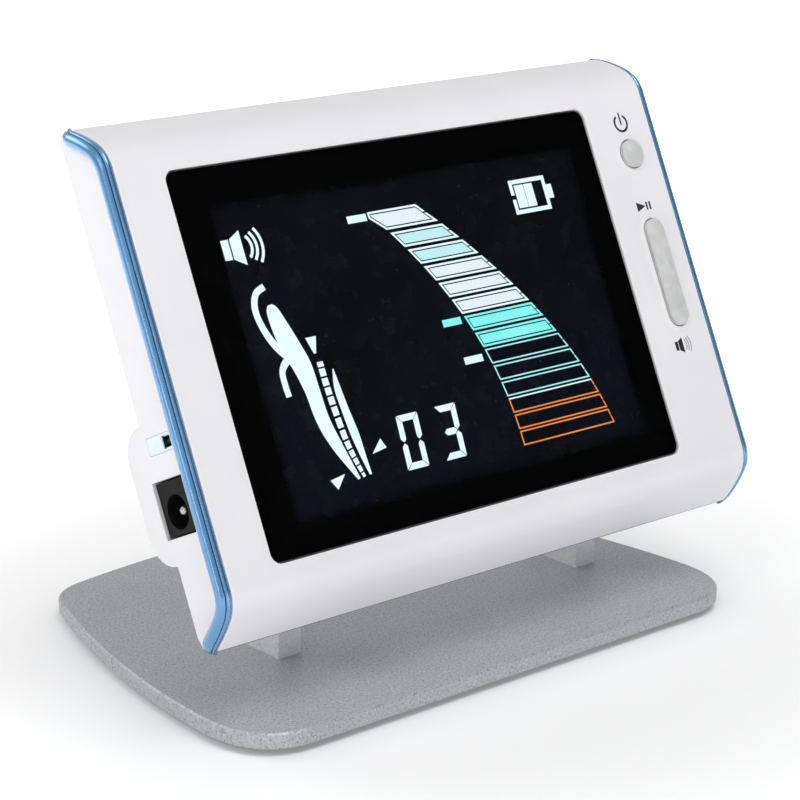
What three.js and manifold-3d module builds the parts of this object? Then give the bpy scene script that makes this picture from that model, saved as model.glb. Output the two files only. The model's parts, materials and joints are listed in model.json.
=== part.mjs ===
// Apex locator: a desk-top electronic canal-length meter. A flat display head with a rounded back
// hump tilts on two upright brackets that stand on a metal base plate.
// Millimetres, +Z up, front towards -Y. Origin: on the table, under the middle of the head and the stand.
// Inside the head group the axes are x = across, y = back from the front face, z = up the front face.
import * as THREE from "three";
import { mergeVertices } from "three/addons/utils/BufferGeometryUtils.js";
import Module from "manifold-3d";

const wasm = await Module();
wasm.setup();

// ---------------------------------------------------------------- driving dimensions
const CLEAR = 0.3; // free gap between neighbouring pieces in the turned head
const ARC_STEPS = 6; // facets in a quarter-turn corner
const ROUND_STEPS = 24; // facets in a small full circle

// stand
const FOOT_HEIGHT = 1.2;
const FOOT_RADIUS = 5;
const PLATE_THICKNESS = 3.3;
const PLATE_TOP = FOOT_HEIGHT + PLATE_THICKNESS;
const PLATE_HALF_WIDTH = 64;
const PLATE_HALF_DEPTH = 46.5;
const PLATE_X = -1.8; // the plate's middle lies a little to the left of the head's
const PLATE_EDGE_CHAMFER = 0.4;

// head placement
const PANEL_Y = -22.2; // centre of the front face at the rest lean
const PANEL_Z = 67;
const REST_LEAN = 25.4; // degrees back from upright

// head outer form, measured in the front-face frame
const HALF_HEIGHT = 49.2;
const COVER_HALF_WIDTH = 66;
const HEAD_DEPTH = 14.4;
const FLAT_HALF = 38; // half-height of the flat part of the front
const ROLL_RADIUS = 7; // bend where the front turns back, top and bottom
const ROLL_ANGLE = 50; // degrees that it turns through
const FRONT_WALL = 2.2;
const FRONT_REAR_EDGE = 9.4; // how far back the front cover reaches
const REAR_WALL = 2;
const REAR_HALF_WIDTH = 65.5;
const REAR_CORNER = 1.7;
const TRIM_PROUD = 3.8; // how far the blue trim stands out at each side
const TRIM_WIDTH = 3.2;
const TRIM_BEVEL = 0.9;
const TRIM_REAR_EDGE = 11; // how far back the trim reaches at the top and bottom

// rounded hump across the back
const HUMP_TOP = -6;
const HUMP_BOTTOM = -32.4;
const HUMP_DEPTH = 21.1;
const HUMP_CORNER = 6.5;

// display
const WINDOW = { x: -2.1, z: 0, width: 106, height: 74, corner: 2.2 };
const WINDOW_RECESS = 1.7;
const WINDOW_THICKNESS = 1.1;
const WINDOW_FRONT = 0.35;
const WINDOW_LEDGE = 2.5;
const LCD = { x: -1.8, z: -1.1, width: 97, height: 64 };

// keys
const KEY_X = 61;
const POWER_Z = 25.8;
const POWER_RADIUS = 2.8;
const ROCKER_HALF = 11.5;
const ROCKER_WIDTH = 5.8;
const KEY_PROUD = 0.8;
const KEY_FLANGE = 0.6;
const ROCKER_SWITCH_Z = 7.5;

// tilt hinge
const HINGE_Y = 15.2;
const HINGE_Z = -19.2;
const PIN_RADIUS = 2;
const EYE_RADIUS = 4.8;
const BRACKET_X = [-35, 45]; // the left one stands further in, clear of the power socket
const BRACKET_THICKNESS = 5.5;
const WASHER_THICKNESS = 0.8;
const CHEEK = 2;
const SLOT_HALF = BRACKET_THICKNESS / 2 + WASHER_THICKNESS + 2 * CLEAR;
const BRACKET_FRONT = -0.4; // front edge of the bracket, from the hinge axis
const BRACKET_DEPTH = 14;

// boards
const BOARD_FRONT = 6.4;
const BOARD_BACK = 7.6;
const KEY_BOARD_FRONT = 8;
const KEY_BOARD_BACK = 9.2;

// sockets in the left side
const JACK = { y0: 5.9, y1: 15.1, z0: -27.1, z1: -17, length: 11.3 };
const SOCKET = { y0: 5.6, y1: 13, z0: -11.7, z1: -8.9, length: 9 };

// battery bay
const BATTERY = { x0: -20, x1: 27, y0: 9.6, y1: 18.2, z0: -29, z1: -9.6 };
const DOOR = { x0: -25, x1: 35, z0: -31.2, z1: -7.4, thickness: 1.2 };
const DOOR_SCREW_X = 32;

const lean = THREE.MathUtils.degToRad(REST_LEAN);
const roll = THREE.MathUtils.degToRad(ROLL_ANGLE);

// ---------------------------------------------------------------- materials
const finish = (color, roughness, metalness = 0) =>
  new THREE.MeshStandardMaterial({ color, roughness, metalness });
const WHITE_PLASTIC = [0xeceaee, 0.35];
const BLUE_PAINT = [0x5b95c9, 0.3, 0.4];
const BLACK_GLASS = [0x050506, 0.06];
const NAVY_GLASS = [0x0b0f1a, 0.15];
const BLACK_PLASTIC = [0x1c1c1e, 0.5];
const KEY_PLASTIC = [0xbec5c0, 0.45];
const SANDED_ALUMINIUM = [0xb9bcc1, 0.55, 0.7];
const STEEL = [0x9a9da1, 0.3, 1];
const BRASS = [0xb08d4f, 0.35, 1];
const BOARD_GREEN = [0x1e5c3a, 0.5];
const GREY_RUBBER = [0x2a2b2d, 0.9];
const DIFFUSER = [0xf4f6f4, 0.4];
const BATTERY_WRAP = [0x2f6fb3, 0.4];
const TEAL_PLASTIC = [0x1c7a78, 0.4];
const SHIELD_TIN = [0xc3c5c6, 0.35, 0.9];

// ---------------------------------------------------------------- geometry helpers
function toSolid(geometry) {
  const bare = geometry.clone();
  for (const name of Object.keys(bare.attributes)) {
    if (name !== "position") bare.deleteAttribute(name);
  }
  const merged = mergeVertices(bare, 1e-4);
  return new wasm.Manifold(
    new wasm.Mesh({
      numProp: 3,
      vertProperties: new Float32Array(merged.attributes.position.array),
      triVerts: new Uint32Array(merged.index.array),
    })
  );
}

function toGeometry(solid) {
  const mesh = solid.getMesh();
  const geometry = new THREE.BufferGeometry();
  geometry.setAttribute("position", new THREE.BufferAttribute(new Float32Array(mesh.vertProperties), 3));
  geometry.setIndex(new THREE.BufferAttribute(new Uint32Array(mesh.triVerts), 1));
  const flat = geometry.toNonIndexed();
  flat.computeVertexNormals();
  return flat;
}

const X_AXIS = new THREE.Vector3(1, 0, 0);
const Y_AXIS = new THREE.Vector3(0, 1, 0);
const Z_AXIS = new THREE.Vector3(0, 0, 1);

function extrude(shape, depth, bevel = 0) {
  const options = { depth, steps: 1, curveSegments: 2 * ARC_STEPS, bevelEnabled: false };
  if (bevel > 0) {
    options.depth = depth - 2 * bevel;
    Object.assign(options, { bevelEnabled: true, bevelSize: bevel, bevelThickness: bevel });
    Object.assign(options, { bevelOffset: -bevel, bevelSegments: 1 });
  }
  const geometry = new THREE.ExtrudeGeometry(shape, options);
  return bevel > 0 ? geometry.translate(0, 0, bevel) : geometry;
}

// A side outline (y, z) run across from x0 to x1.
function acrossX(shape, x0, x1, bevel = 0) {
  const turn = new THREE.Matrix4().makeBasis(Y_AXIS, Z_AXIS, X_AXIS);
  return toSolid(extrude(shape, x1 - x0, bevel).applyMatrix4(turn).translate(x0, 0, 0));
}

// A front outline (x, z) run back from y0 to y1.
function backwards(shape, y0, y1, bevel = 0) {
  const turn = new THREE.Matrix4().makeBasis(X_AXIS, Z_AXIS, Y_AXIS.clone().negate());
  return toSolid(extrude(shape, y1 - y0, bevel).applyMatrix4(turn).translate(0, y1, 0));
}

// A plan outline (x, y) run up from z0 to z1.
function upwards(shape, z0, z1, bevel = 0) {
  return toSolid(extrude(shape, z1 - z0, bevel).translate(0, 0, z0));
}

function outline(points) {
  return new THREE.Shape(points.map(([a, b]) => new THREE.Vector2(a, b)));
}

function box(x0, x1, y0, y1, z0, z1) {
  const geometry = new THREE.BoxGeometry(x1 - x0, y1 - y0, z1 - z0);
  return toSolid(geometry.translate((x0 + x1) / 2, (y0 + y1) / 2, (z0 + z1) / 2));
}

function roundedRect(cx, cy, width, height, radius) {
  const [x0, x1] = [cx - width / 2, cx + width / 2];
  const [y0, y1] = [cy - height / 2, cy + height / 2];
  const shape = new THREE.Shape();
  shape.moveTo(x0 + radius, y0);
  shape.lineTo(x1 - radius, y0);
  shape.absarc(x1 - radius, y0 + radius, radius, -Math.PI / 2, 0, false);
  shape.lineTo(x1, y1 - radius);
  shape.absarc(x1 - radius, y1 - radius, radius, 0, Math.PI / 2, false);
  shape.lineTo(x0 + radius, y1);
  shape.absarc(x0 + radius, y1 - radius, radius, Math.PI / 2, Math.PI, false);
  shape.lineTo(x0, y0 + radius);
  shape.absarc(x0 + radius, y0 + radius, radius, Math.PI, 1.5 * Math.PI, false);
  return shape;
}

function rodX(x0, x1, y, z, radius, steps = ROUND_STEPS) {
  const geometry = new THREE.CylinderGeometry(radius, radius, x1 - x0, steps).rotateZ(-Math.PI / 2);
  return toSolid(geometry.translate((x0 + x1) / 2, y, z));
}

function rodY(x, z, y0, y1, radius, steps = ROUND_STEPS) {
  const geometry = new THREE.CylinderGeometry(radius, radius, y1 - y0, steps);
  return toSolid(geometry.translate(x, (y0 + y1) / 2, z));
}

function rodZ(x, y, z0, z1, radius, radiusTop = radius, steps = ROUND_STEPS) {
  const geometry = new THREE.CylinderGeometry(radiusTop, radius, z1 - z0, steps).rotateX(Math.PI / 2);
  return toSolid(geometry.translate(x, y, (z0 + z1) / 2));
}

function add(group, name, solid, look) {
  const mesh = new THREE.Mesh(toGeometry(solid), finish(...look));
  mesh.name = name;
  group.add(mesh);
}

// ---------------------------------------------------------------- head outlines
// Upper half of the front surface, set in by `inset`, from the middle up to depth `reach`.
function frontCurve(inset, reach) {
  const points = [];
  const radius = ROLL_RADIUS - inset;
  for (let i = 0; i <= ARC_STEPS; i++) {
    const a = (roll * i) / ARC_STEPS;
    points.push([ROLL_RADIUS - radius * Math.cos(a), FLAT_HALF + radius * Math.sin(a)]);
  }
  const [y, z] = points[points.length - 1];
  const run = (reach - y) / Math.tan(roll);
  points.push([reach, z + run]);
  return points;
}

const mirrored = (points) => points.map(([y, z]) => [y, -z]).reverse();

// A strip that follows the front surface between two insets and ends at the given depths.
function frontStrip(outerInset, outerReach, innerInset, innerReach) {
  const outer = frontCurve(outerInset, outerReach);
  const inner = frontCurve(innerInset, innerReach);
  return outline([...mirrored(outer), ...outer, ...[...inner].reverse(), ...mirrored(inner).reverse()]);
}

// The back of the head with its hump, set in by `inset`, from the top down.
function backCurve(inset) {
  const depth = HEAD_DEPTH - inset;
  const hump = HUMP_DEPTH - inset;
  const radius = HUMP_CORNER - inset;
  const points = [];
  const corner = (centreZ, from) => {
    for (let i = 0; i <= ARC_STEPS; i++) {
      const a = from - (Math.PI / 2) * (i / ARC_STEPS);
      points.push([hump - radius + radius * Math.cos(a), centreZ + radius * Math.sin(a)]);
    }
  };
  points.push([depth, HUMP_TOP - inset]);
  corner(HUMP_TOP - HUMP_CORNER, Math.PI / 2);
  corner(HUMP_BOTTOM + HUMP_CORNER, 0);
  points.push([depth, HUMP_BOTTOM + inset]);
  return points;
}

function rearOutline() {
  const lip = 46.3;
  const shoulder = TRIM_REAR_EDGE + CLEAR;
  const front = frontCurve(FRONT_WALL + CLEAR, FRONT_REAR_EDGE - CLEAR);
  const top = [
    [shoulder, lip],
    [shoulder, HALF_HEIGHT],
    [HEAD_DEPTH - REAR_CORNER / 2, HALF_HEIGHT],
    [HEAD_DEPTH, HALF_HEIGHT - REAR_CORNER],
  ];
  return outline([...mirrored(front), ...front, ...top, ...backCurve(0), ...mirrored(top)]);
}

function rearHollow() {
  const edge = 44;
  const back = HEAD_DEPTH - REAR_WALL;
  return outline([[-5, -edge], [-5, edge], [back, edge], ...backCurve(REAR_WALL), [back, -edge]]);
}

// ---------------------------------------------------------------- head shells
function frontCover() {
  let body = acrossX(
    frontStrip(0, FRONT_REAR_EDGE, FRONT_WALL, FRONT_REAR_EDGE),
    -COVER_HALF_WIDTH,
    COVER_HALF_WIDTH
  );
  for (const [x, z] of COVER_SCREWS) body = body.add(rodY(x, z, 2, HEAD_DEPTH - REAR_WALL - CLEAR, 2.5));
  for (const [x, z] of BOARD_SCREWS) body = body.add(rodY(x, z, 2, BOARD_FRONT - CLEAR, 2.2));
  const { x, z, width, height, corner } = WINDOW;
  const opening = roundedRect(x, z, width - 2 * WINDOW_LEDGE, height - 2 * WINDOW_LEDGE, corner);
  body = body.subtract(backwards(roundedRect(x, z, width, height, corner), -1, WINDOW_RECESS));
  body = body.subtract(backwards(opening, -1, FRONT_WALL + 1));
  body = body.subtract(rodY(KEY_X, POWER_Z, -1, FRONT_WALL + 1, POWER_RADIUS + CLEAR));
  const slotWidth = ROCKER_WIDTH + 2 * CLEAR;
  const slot = roundedRect(KEY_X, 0, slotWidth, 2 * (ROCKER_HALF + CLEAR), slotWidth / 2 - 0.01);
  body = body.subtract(backwards(slot, -1, FRONT_WALL + 1));
  for (const [sx, sz] of COVER_SCREWS) body = body.subtract(rodY(sx, sz, 4.4, HEAD_DEPTH, 1.4));
  for (const [sx, sz] of BOARD_SCREWS) body = body.subtract(rodY(sx, sz, 3, HEAD_DEPTH, 1.3));
  return body;
}

function trimBand() {
  const edge = COVER_HALF_WIDTH + TRIM_PROUD;
  const front = roundedRect(0, 0, 2 * edge, 2 * HALF_HEIGHT, TRIM_PROUD + 0.2);
  const clip = backwards(front, -5, TRIM_REAR_EDGE);
  const strip = frontStrip(0, HEAD_DEPTH + 4, TRIM_WIDTH, HEAD_DEPTH + 4);
  const body = acrossX(strip, COVER_HALF_WIDTH + 0.1, edge, TRIM_BEVEL)
    .add(acrossX(strip, -edge, -COVER_HALF_WIDTH - 0.1, TRIM_BEVEL))
    .intersect(clip);
  const joinX = COVER_HALF_WIDTH + TRIM_BEVEL + 1;
  const bar = (sign) => {
    const [a, b] = [sign * (HALF_HEIGHT - 2.3), sign * HALF_HEIGHT];
    return box(-joinX, joinX, FRONT_REAR_EDGE + CLEAR, TRIM_REAR_EDGE, Math.min(a, b), Math.max(a, b));
  };
  return body.add(bar(1)).add(bar(-1));
}

// Corner screws that hold the two covers together, and screws that hold the main board.
const COVER_SCREWS = [[-59, 36], [59, 36], [-59, -36], [59, -36]];
const BOARD_SCREWS = [[-57.5, 24], [52.5, 24], [52.5, -5]];

// Room that a bracket needs over the whole tilt, as a side outline round the hinge axis.
function bracketSlot(x) {
  const r = EYE_RADIUS + 2 * CLEAR;
  const reach = 12;
  const sweep = outline([
    [HINGE_Y - r, HINGE_Z - 1],
    [HINGE_Y + BRACKET_FRONT - CLEAR, HINGE_Z - 10.5],
    [HINGE_Y + BRACKET_FRONT - CLEAR, HINGE_Z - 17],
    [HINGE_Y + reach, HINGE_Z - 17],
    [HINGE_Y + reach, HINGE_Z + r],
    [HINGE_Y, HINGE_Z + r],
  ]);
  const eye = rodX(x - SLOT_HALF, x + SLOT_HALF, HINGE_Y, HINGE_Z, r);
  return acrossX(sweep, x - SLOT_HALF, x + SLOT_HALF).add(eye);
}

function rearCover() {
  const outer = acrossX(rearOutline(), -REAR_HALF_WIDTH, REAR_HALF_WIDTH);
  const inside = REAR_HALF_WIDTH - REAR_WALL;
  let body = outer.subtract(acrossX(rearHollow(), -inside, inside));
  // boxed pockets for the brackets, with a wall all round each slot
  const pocketBelow = HUMP_BOTTOM + 0.5;
  for (const x of BRACKET_X) {
    const half = SLOT_HALF + CHEEK;
    const pocket = box(x - half, x + half, 8.4, HUMP_DEPTH, pocketBelow, HINGE_Z + 7.6);
    body = body.add(pocket.intersect(outer)).subtract(bracketSlot(x));
    body = body.subtract(rodX(x - 10, x + 10, HINGE_Y, HINGE_Z, PIN_RADIUS + CLEAR));
  }
  // battery opening with a ledge that the door sits on, and the boss for its screw
  const boss = rodY(DOOR_SCREW_X, HINGE_Z, 13, HUMP_DEPTH - 1.6, 3.6);
  body = body.add(boss);
  const bay = box(DOOR.x0, DOOR.x1, 10, 30, DOOR.z0, DOOR.z1);
  body = body.subtract(bay.subtract(acrossX(backOnly(DOOR.thickness + CLEAR), -inside, inside)));
  body = body.subtract(box(DOOR.x0 + 2.5, DOOR.x1 - 7.2, 12.5, 30, DOOR.z0 + 2.4, DOOR.z1 - 2.4));
  body = body.subtract(rodY(DOOR_SCREW_X, HINGE_Z, HUMP_DEPTH - 3.2, 30, 2.9));
  body = body.subtract(rodY(DOOR_SCREW_X, HINGE_Z, 12, 30, 1.3));
  // side openings and screw seats
  body = body.subtract(
    box(-70, -inside + 1, JACK.y0 - CLEAR, JACK.y1 + CLEAR, JACK.z0 - CLEAR, JACK.z1 + CLEAR)
  );
  body = body.subtract(
    box(-70, -inside + 1, SOCKET.y0 - CLEAR, SOCKET.y1 + CLEAR, SOCKET.z0 - CLEAR, SOCKET.z1 + CLEAR)
  );
  for (const [x, z] of COVER_SCREWS) {
    body = body.subtract(rodY(x, z, HEAD_DEPTH - 1.2, 20, 2.4)).subtract(rodY(x, z, 10, 20, 1.4));
  }
  for (const [x, z] of soundHoles()) body = body.subtract(rodY(x, z, 10, 20, 0.7, 8));
  // the right wall is thinned inside so that the key flanges clear it
  return body.subtract(box(60, REAR_HALF_WIDTH - 0.8, 0, 5.4, -14, 32));
}

// The back of the head as a solid, set in by `inset`, used to part the door from the wall.
function backOnly(inset) {
  const back = HEAD_DEPTH - inset;
  return outline([[-5, -40], [-5, 40], [back, 40], ...backCurve(inset), [back, -40]]);
}

const BUZZER = { x: 36, z: 16, radius: 6 };
function soundHoles() {
  const ring = [0, 1, 2, 3, 4, 5].map((i) => (i * Math.PI) / 3);
  return [[BUZZER.x, BUZZER.z], ...ring.map((a) => [BUZZER.x + 3 * Math.cos(a), BUZZER.z + 3 * Math.sin(a)])];
}

function batteryDoor() {
  const gap = 0.2;
  const outer = acrossX(rearOutline(), -REAR_HALF_WIDTH, REAR_HALF_WIDTH);
  const shell = outer.subtract(acrossX(backOnly(DOOR.thickness), -60, 60));
  let body = shell.intersect(
    box(DOOR.x0 + gap, DOOR.x1 - gap, 10, 30, DOOR.z0 + gap, DOOR.z1 - gap)
  );
  body = body.add(rodY(DOOR_SCREW_X, HINGE_Z, HUMP_DEPTH - 2.9, HUMP_DEPTH - 0.5, 2.6));
  body = body.subtract(rodY(DOOR_SCREW_X, HINGE_Z, HUMP_DEPTH - 1.5, 30, 2.1));
  return body.subtract(rodY(DOOR_SCREW_X, HINGE_Z, 10, 30, 1.3));
}

// ---------------------------------------------------------------- display stack
function displayWindow() {
  const { x, z, width, height, corner } = WINDOW;
  const shape = roundedRect(x, z, width - 2 * CLEAR, height - 2 * CLEAR, corner - CLEAR);
  return backwards(shape, WINDOW_FRONT, WINDOW_FRONT + WINDOW_THICKNESS);
}

const LCD_FRONT = 2.6;
const LCD_BACK = 4.3;
const lcdBox = (grow, y0, y1) =>
  box(
    LCD.x - LCD.width / 2 - grow,
    LCD.x + LCD.width / 2 + grow,
    y0,
    y1,
    LCD.z - LCD.height / 2 - grow,
    LCD.z + LCD.height / 2 + grow
  );

const lcdFrame = () => lcdBox(2.6, 2.5, 6.1).subtract(lcdBox(CLEAR, 0, 10));

function zebraStrip() {
  const z = LCD.z - LCD.height / 2 + 1.2;
  return box(LCD.x - 42, LCD.x + 42, LCD_BACK + CLEAR, BOARD_FRONT - CLEAR, z - 0.9, z + 0.9);
}

function mainBoard() {
  let body = box(-62, 55, BOARD_FRONT, BOARD_BACK, -31, 31);
  body = body.subtract(box(-70, -50, 0, 20, JACK.z0 - 2, SOCKET.z1 + 2));
  for (const [x, z] of BOARD_SCREWS) body = body.subtract(rodY(x, z, 0, 20, 1.4));
  return body;
}

// ---------------------------------------------------------------- keys and switches
const SWITCH_FRONT = 5;
const PLUNGER_FRONT = 4;
const PLUNGER_RADIUS = 1.4;

function powerButton() {
  return rodY(KEY_X, POWER_Z, -KEY_PROUD, 2.8, POWER_RADIUS)
    .add(rodY(KEY_X, POWER_Z, FRONT_WALL + CLEAR, 3.3, POWER_RADIUS + KEY_FLANGE))
    .add(rodY(KEY_X, POWER_Z, 3, PLUNGER_FRONT - 0.1, 1.2));
}

function rockerKey() {
  const pill = roundedRect(KEY_X, 0, ROCKER_WIDTH, 2 * ROCKER_HALF, ROCKER_WIDTH / 2 - 0.01);
  const skirt = roundedRect(KEY_X, 0, ROCKER_WIDTH + 1, 2 * ROCKER_HALF - 2, 2);
  let body = backwards(pill, -KEY_PROUD, 2.6).add(backwards(skirt, 2.9, 3.5));
  body = body.add(backwards(roundedRect(KEY_X, 0, ROCKER_WIDTH - 1, 2 * ROCKER_HALF - 4, 1), 2, 3.2));
  for (const z of [ROCKER_SWITCH_Z, -ROCKER_SWITCH_Z]) {
    body = body.add(rodY(KEY_X, z, 3, PLUNGER_FRONT - 0.1, 1.2));
  }
  return body;
}

function keySwitch(z) {
  const body = box(KEY_X - 3, KEY_X + 2, SWITCH_FRONT, KEY_BOARD_FRONT - CLEAR, z - 2.6, z + 2.6);
  return body.subtract(rodY(KEY_X, z, 0, SWITCH_FRONT + 1.8, PLUNGER_RADIUS + CLEAR));
}

const switchPlunger = (z) => rodY(KEY_X, z, PLUNGER_FRONT, SWITCH_FRONT + 1, PLUNGER_RADIUS);

// ---------------------------------------------------------------- sockets
const SIDE_X = -REAR_HALF_WIDTH;

function jackBody() {
  const { y0, y1, z0, z1, length } = JACK;
  const face = SIDE_X + 0.6;
  const [y, z] = jackCentre();
  return box(face, face + length, y0, y1, z0, z1).subtract(rodX(face - 1, face + 10, y, z, 3.25));
}

function jackCentre() {
  return [(JACK.y0 + JACK.y1) / 2 - 0.1, (JACK.z0 + JACK.z1) / 2 - 0.9];
}

function jackPin() {
  const [y, z] = jackCentre();
  const start = SIDE_X + 2.2;
  const tip = new THREE.SphereGeometry(1, ROUND_STEPS / 2, 8).translate(start, y, z);
  return rodX(start, SIDE_X + 10.3, y, z, 1, ROUND_STEPS / 2).add(toSolid(tip));
}

function jackSpring() {
  const [y, z] = jackCentre();
  return box(SIDE_X + 3.5, SIDE_X + 9.5, y - 1.2, y + 1.2, z - 2.9, z - 2.3);
}

function probeSocket() {
  const { y0, y1, z0, z1, length } = SOCKET;
  const face = SIDE_X + 0.3;
  const wall = 0.4;
  return box(face, face + length, y0, y1, z0, z1).subtract(
    box(face - 1, face + 6, y0 + wall, y1 - wall, z0 + wall, z1 - wall)
  );
}

function probeContact() {
  const { y0, y1, z0, z1 } = SOCKET;
  const middle = (z0 + z1) / 2;
  return box(SIDE_X + 1.2, SIDE_X + 6, y0 + 1.4, y1 - 1.4, middle - 0.4, middle + 0.4);
}

// ---------------------------------------------------------------- fasteners
function screwY(x, z, tip, seat, top, shank, head) {
  const drive = rodY(x, z, top - 0.5, top + 1, head * 0.45, 6);
  return rodY(x, z, tip, seat + 0.2, shank, 12).add(rodY(x, z, seat, top, head, 16)).subtract(drive);
}

const CHEEK_FACE = SLOT_HALF + CHEEK + CLEAR;

function hingePin(x) {
  return rodX(x - CHEEK_FACE - 1, x + CHEEK_FACE + 3.2, HINGE_Y, HINGE_Z, PIN_RADIUS).add(
    rodX(x - CHEEK_FACE - 1.8, x - CHEEK_FACE, HINGE_Y, HINGE_Z, 3.4)
  );
}

function hingeNut(x) {
  const hex = rodX(x + CHEEK_FACE, x + CHEEK_FACE + 2.4, HINGE_Y, HINGE_Z, 3.45, 6);
  return hex.subtract(rodX(x, x + CHEEK_FACE + 5, HINGE_Y, HINGE_Z, PIN_RADIUS + CLEAR));
}

function frictionWasher(x0) {
  const ring = rodX(x0, x0 + WASHER_THICKNESS, HINGE_Y, HINGE_Z, 4.4);
  return ring.subtract(rodX(x0 - 1, x0 + 2, HINGE_Y, HINGE_Z, PIN_RADIUS + CLEAR));
}

// ---------------------------------------------------------------- stand
function basePlate() {
  const [w, d] = [PLATE_HALF_WIDTH, PLATE_HALF_DEPTH];
  const shape = new THREE.Shape();
  shape.moveTo(-w + 14, -d);
  shape.lineTo(w - 14, -d);
  shape.quadraticCurveTo(w - 0.5, -d, w, -d + 15.5);
  shape.quadraticCurveTo(w - 0.5, 0, w - 12.5, d - 12);
  shape.quadraticCurveTo(w - 14.5, d - 5, w - 22, d - 3.6);
  shape.quadraticCurveTo(0, d + 3.6, -w + 22, d - 3.6);
  shape.quadraticCurveTo(-w + 14.5, d - 5, -w + 12.5, d - 12);
  shape.quadraticCurveTo(-w + 0.5, 0, -w, -d + 15.5);
  shape.quadraticCurveTo(-w + 0.5, -d, -w + 14, -d);
  let body = upwards(shape, FOOT_HEIGHT, PLATE_TOP, PLATE_EDGE_CHAMFER).translate([PLATE_X, 0, 0]);
  for (const [x, y] of bracketScrewPlaces()) {
    body = body.subtract(rodZ(x, y, FOOT_HEIGHT - 1, PLATE_TOP + 1, 1.7));
    body = body.subtract(rodZ(x, y, FOOT_HEIGHT - 0.01, FOOT_HEIGHT + 2, 3.3, 1.7));
  }
  return body;
}

// The hinge axis in the world, at the rest lean.
function hingeInWorld() {
  const y = PANEL_Y + HINGE_Z * Math.sin(lean) + HINGE_Y * Math.cos(lean);
  const z = PANEL_Z + HINGE_Z * Math.cos(lean) - HINGE_Y * Math.sin(lean);
  return [y, z];
}

function bracketScrewPlaces() {
  const [y] = hingeInWorld();
  const front = y + BRACKET_FRONT;
  return BRACKET_X.flatMap((x) => [3.5, BRACKET_DEPTH - 3.5].map((dy) => [x, front + dy]));
}

function hingeBracket(x) {
  const [y, z] = hingeInWorld();
  const bottom = PLATE_TOP - z;
  const front = BRACKET_FRONT;
  const side = outline([
    [front, bottom],
    [front + BRACKET_DEPTH, bottom],
    [front + BRACKET_DEPTH, -26],
    [front + 10.5, -12],
    [4.5, 1.6],
    [0, 4],
    [-4.5, -1.6],
    [front, -9],
  ]);
  const [x0, x1] = [x - BRACKET_THICKNESS / 2, x + BRACKET_THICKNESS / 2];
  let body = acrossX(side, x0, x1).add(rodX(x0, x1, 0, 0, EYE_RADIUS, 2 * ROUND_STEPS));
  body = body.subtract(rodX(x0 - 1, x1 + 1, 0, 0, PIN_RADIUS + CLEAR)).translate([0, y, z]);
  for (const [sx, sy] of bracketScrewPlaces()) body = body.subtract(rodZ(sx, sy, 0, PLATE_TOP + 7, 1.5));
  return body;
}

function bracketScrew(x, y) {
  const cone = rodZ(x, y, FOOT_HEIGHT + 0.1, FOOT_HEIGHT + 1.7, 2.8, 1.3, 16);
  return cone.add(rodZ(x, y, FOOT_HEIGHT + 1.5, PLATE_TOP + 6, 1.2, 1.2, 12));
}

// ---------------------------------------------------------------- assembly
const locator = new THREE.Group();
const stand = new THREE.Group();
const head = new THREE.Group();
head.position.set(0, PANEL_Y, PANEL_Z);
head.rotation.x = -lean;
locator.add(stand, head);

add(stand, "base_plate", basePlate(), SANDED_ALUMINIUM);
for (const [i, side] of ["left", "right"].entries()) {
  const x = BRACKET_X[i];
  add(stand, `hinge_bracket_${side}`, hingeBracket(x), SANDED_ALUMINIUM);
  add(head, `hinge_pin_${side}`, hingePin(x), STEEL);
  add(head, `hinge_nut_${side}`, hingeNut(x), STEEL);
  const inner = x + BRACKET_THICKNESS / 2 + CLEAR;
  add(head, `friction_washer_${side}_a`, frictionWasher(-inner + 2 * x - WASHER_THICKNESS), BRASS);
  add(head, `friction_washer_${side}_b`, frictionWasher(inner), BRASS);
}
for (const [i, [x, y]] of bracketScrewPlaces().entries()) {
  add(stand, `bracket_screw_${i + 1}`, bracketScrew(x, y), STEEL);
}
const FOOT_PLACES = [[-48, -33], [48, -33], [-38, 34], [38, 34]];
for (const [i, [x, y]] of FOOT_PLACES.entries()) {
  const foot = rodZ(PLATE_X + x, y, 0, FOOT_HEIGHT, FOOT_RADIUS - 0.4, FOOT_RADIUS);
  add(stand, `rubber_foot_${i + 1}`, foot, GREY_RUBBER);
}

add(head, "front_cover", frontCover(), WHITE_PLASTIC);
add(head, "trim_band", trimBand(), BLUE_PAINT);
add(head, "rear_cover", rearCover(), WHITE_PLASTIC);
add(head, "battery_door", batteryDoor(), WHITE_PLASTIC);
const doorScrewTop = HUMP_DEPTH - 0.3;
add(
  head,
  "battery_door_screw",
  screwY(DOOR_SCREW_X, HINGE_Z, 14, HUMP_DEPTH - 1.2, doorScrewTop, 0.95, 1.75),
  STEEL
);
for (const [i, [x, z]] of COVER_SCREWS.entries()) {
  const screw = screwY(x, z, 5.2, HEAD_DEPTH - 0.9, HEAD_DEPTH - 0.1, 1.1, 2.1);
  add(head, `cover_screw_${i + 1}`, screw, STEEL);
}

add(head, "display_window", displayWindow(), BLACK_GLASS);
add(head, "lcd_glass", lcdBox(0, LCD_FRONT, LCD_BACK), NAVY_GLASS);
const backlight = box(LCD.x - 47, LCD.x + 47, LCD_BACK + CLEAR, 6, LCD.z - 29, LCD.z + 31);
add(head, "lcd_backlight", backlight, DIFFUSER);
add(head, "lcd_zebra_strip", zebraStrip(), GREY_RUBBER);
add(head, "lcd_frame", lcdFrame(), BLACK_PLASTIC);

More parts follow.
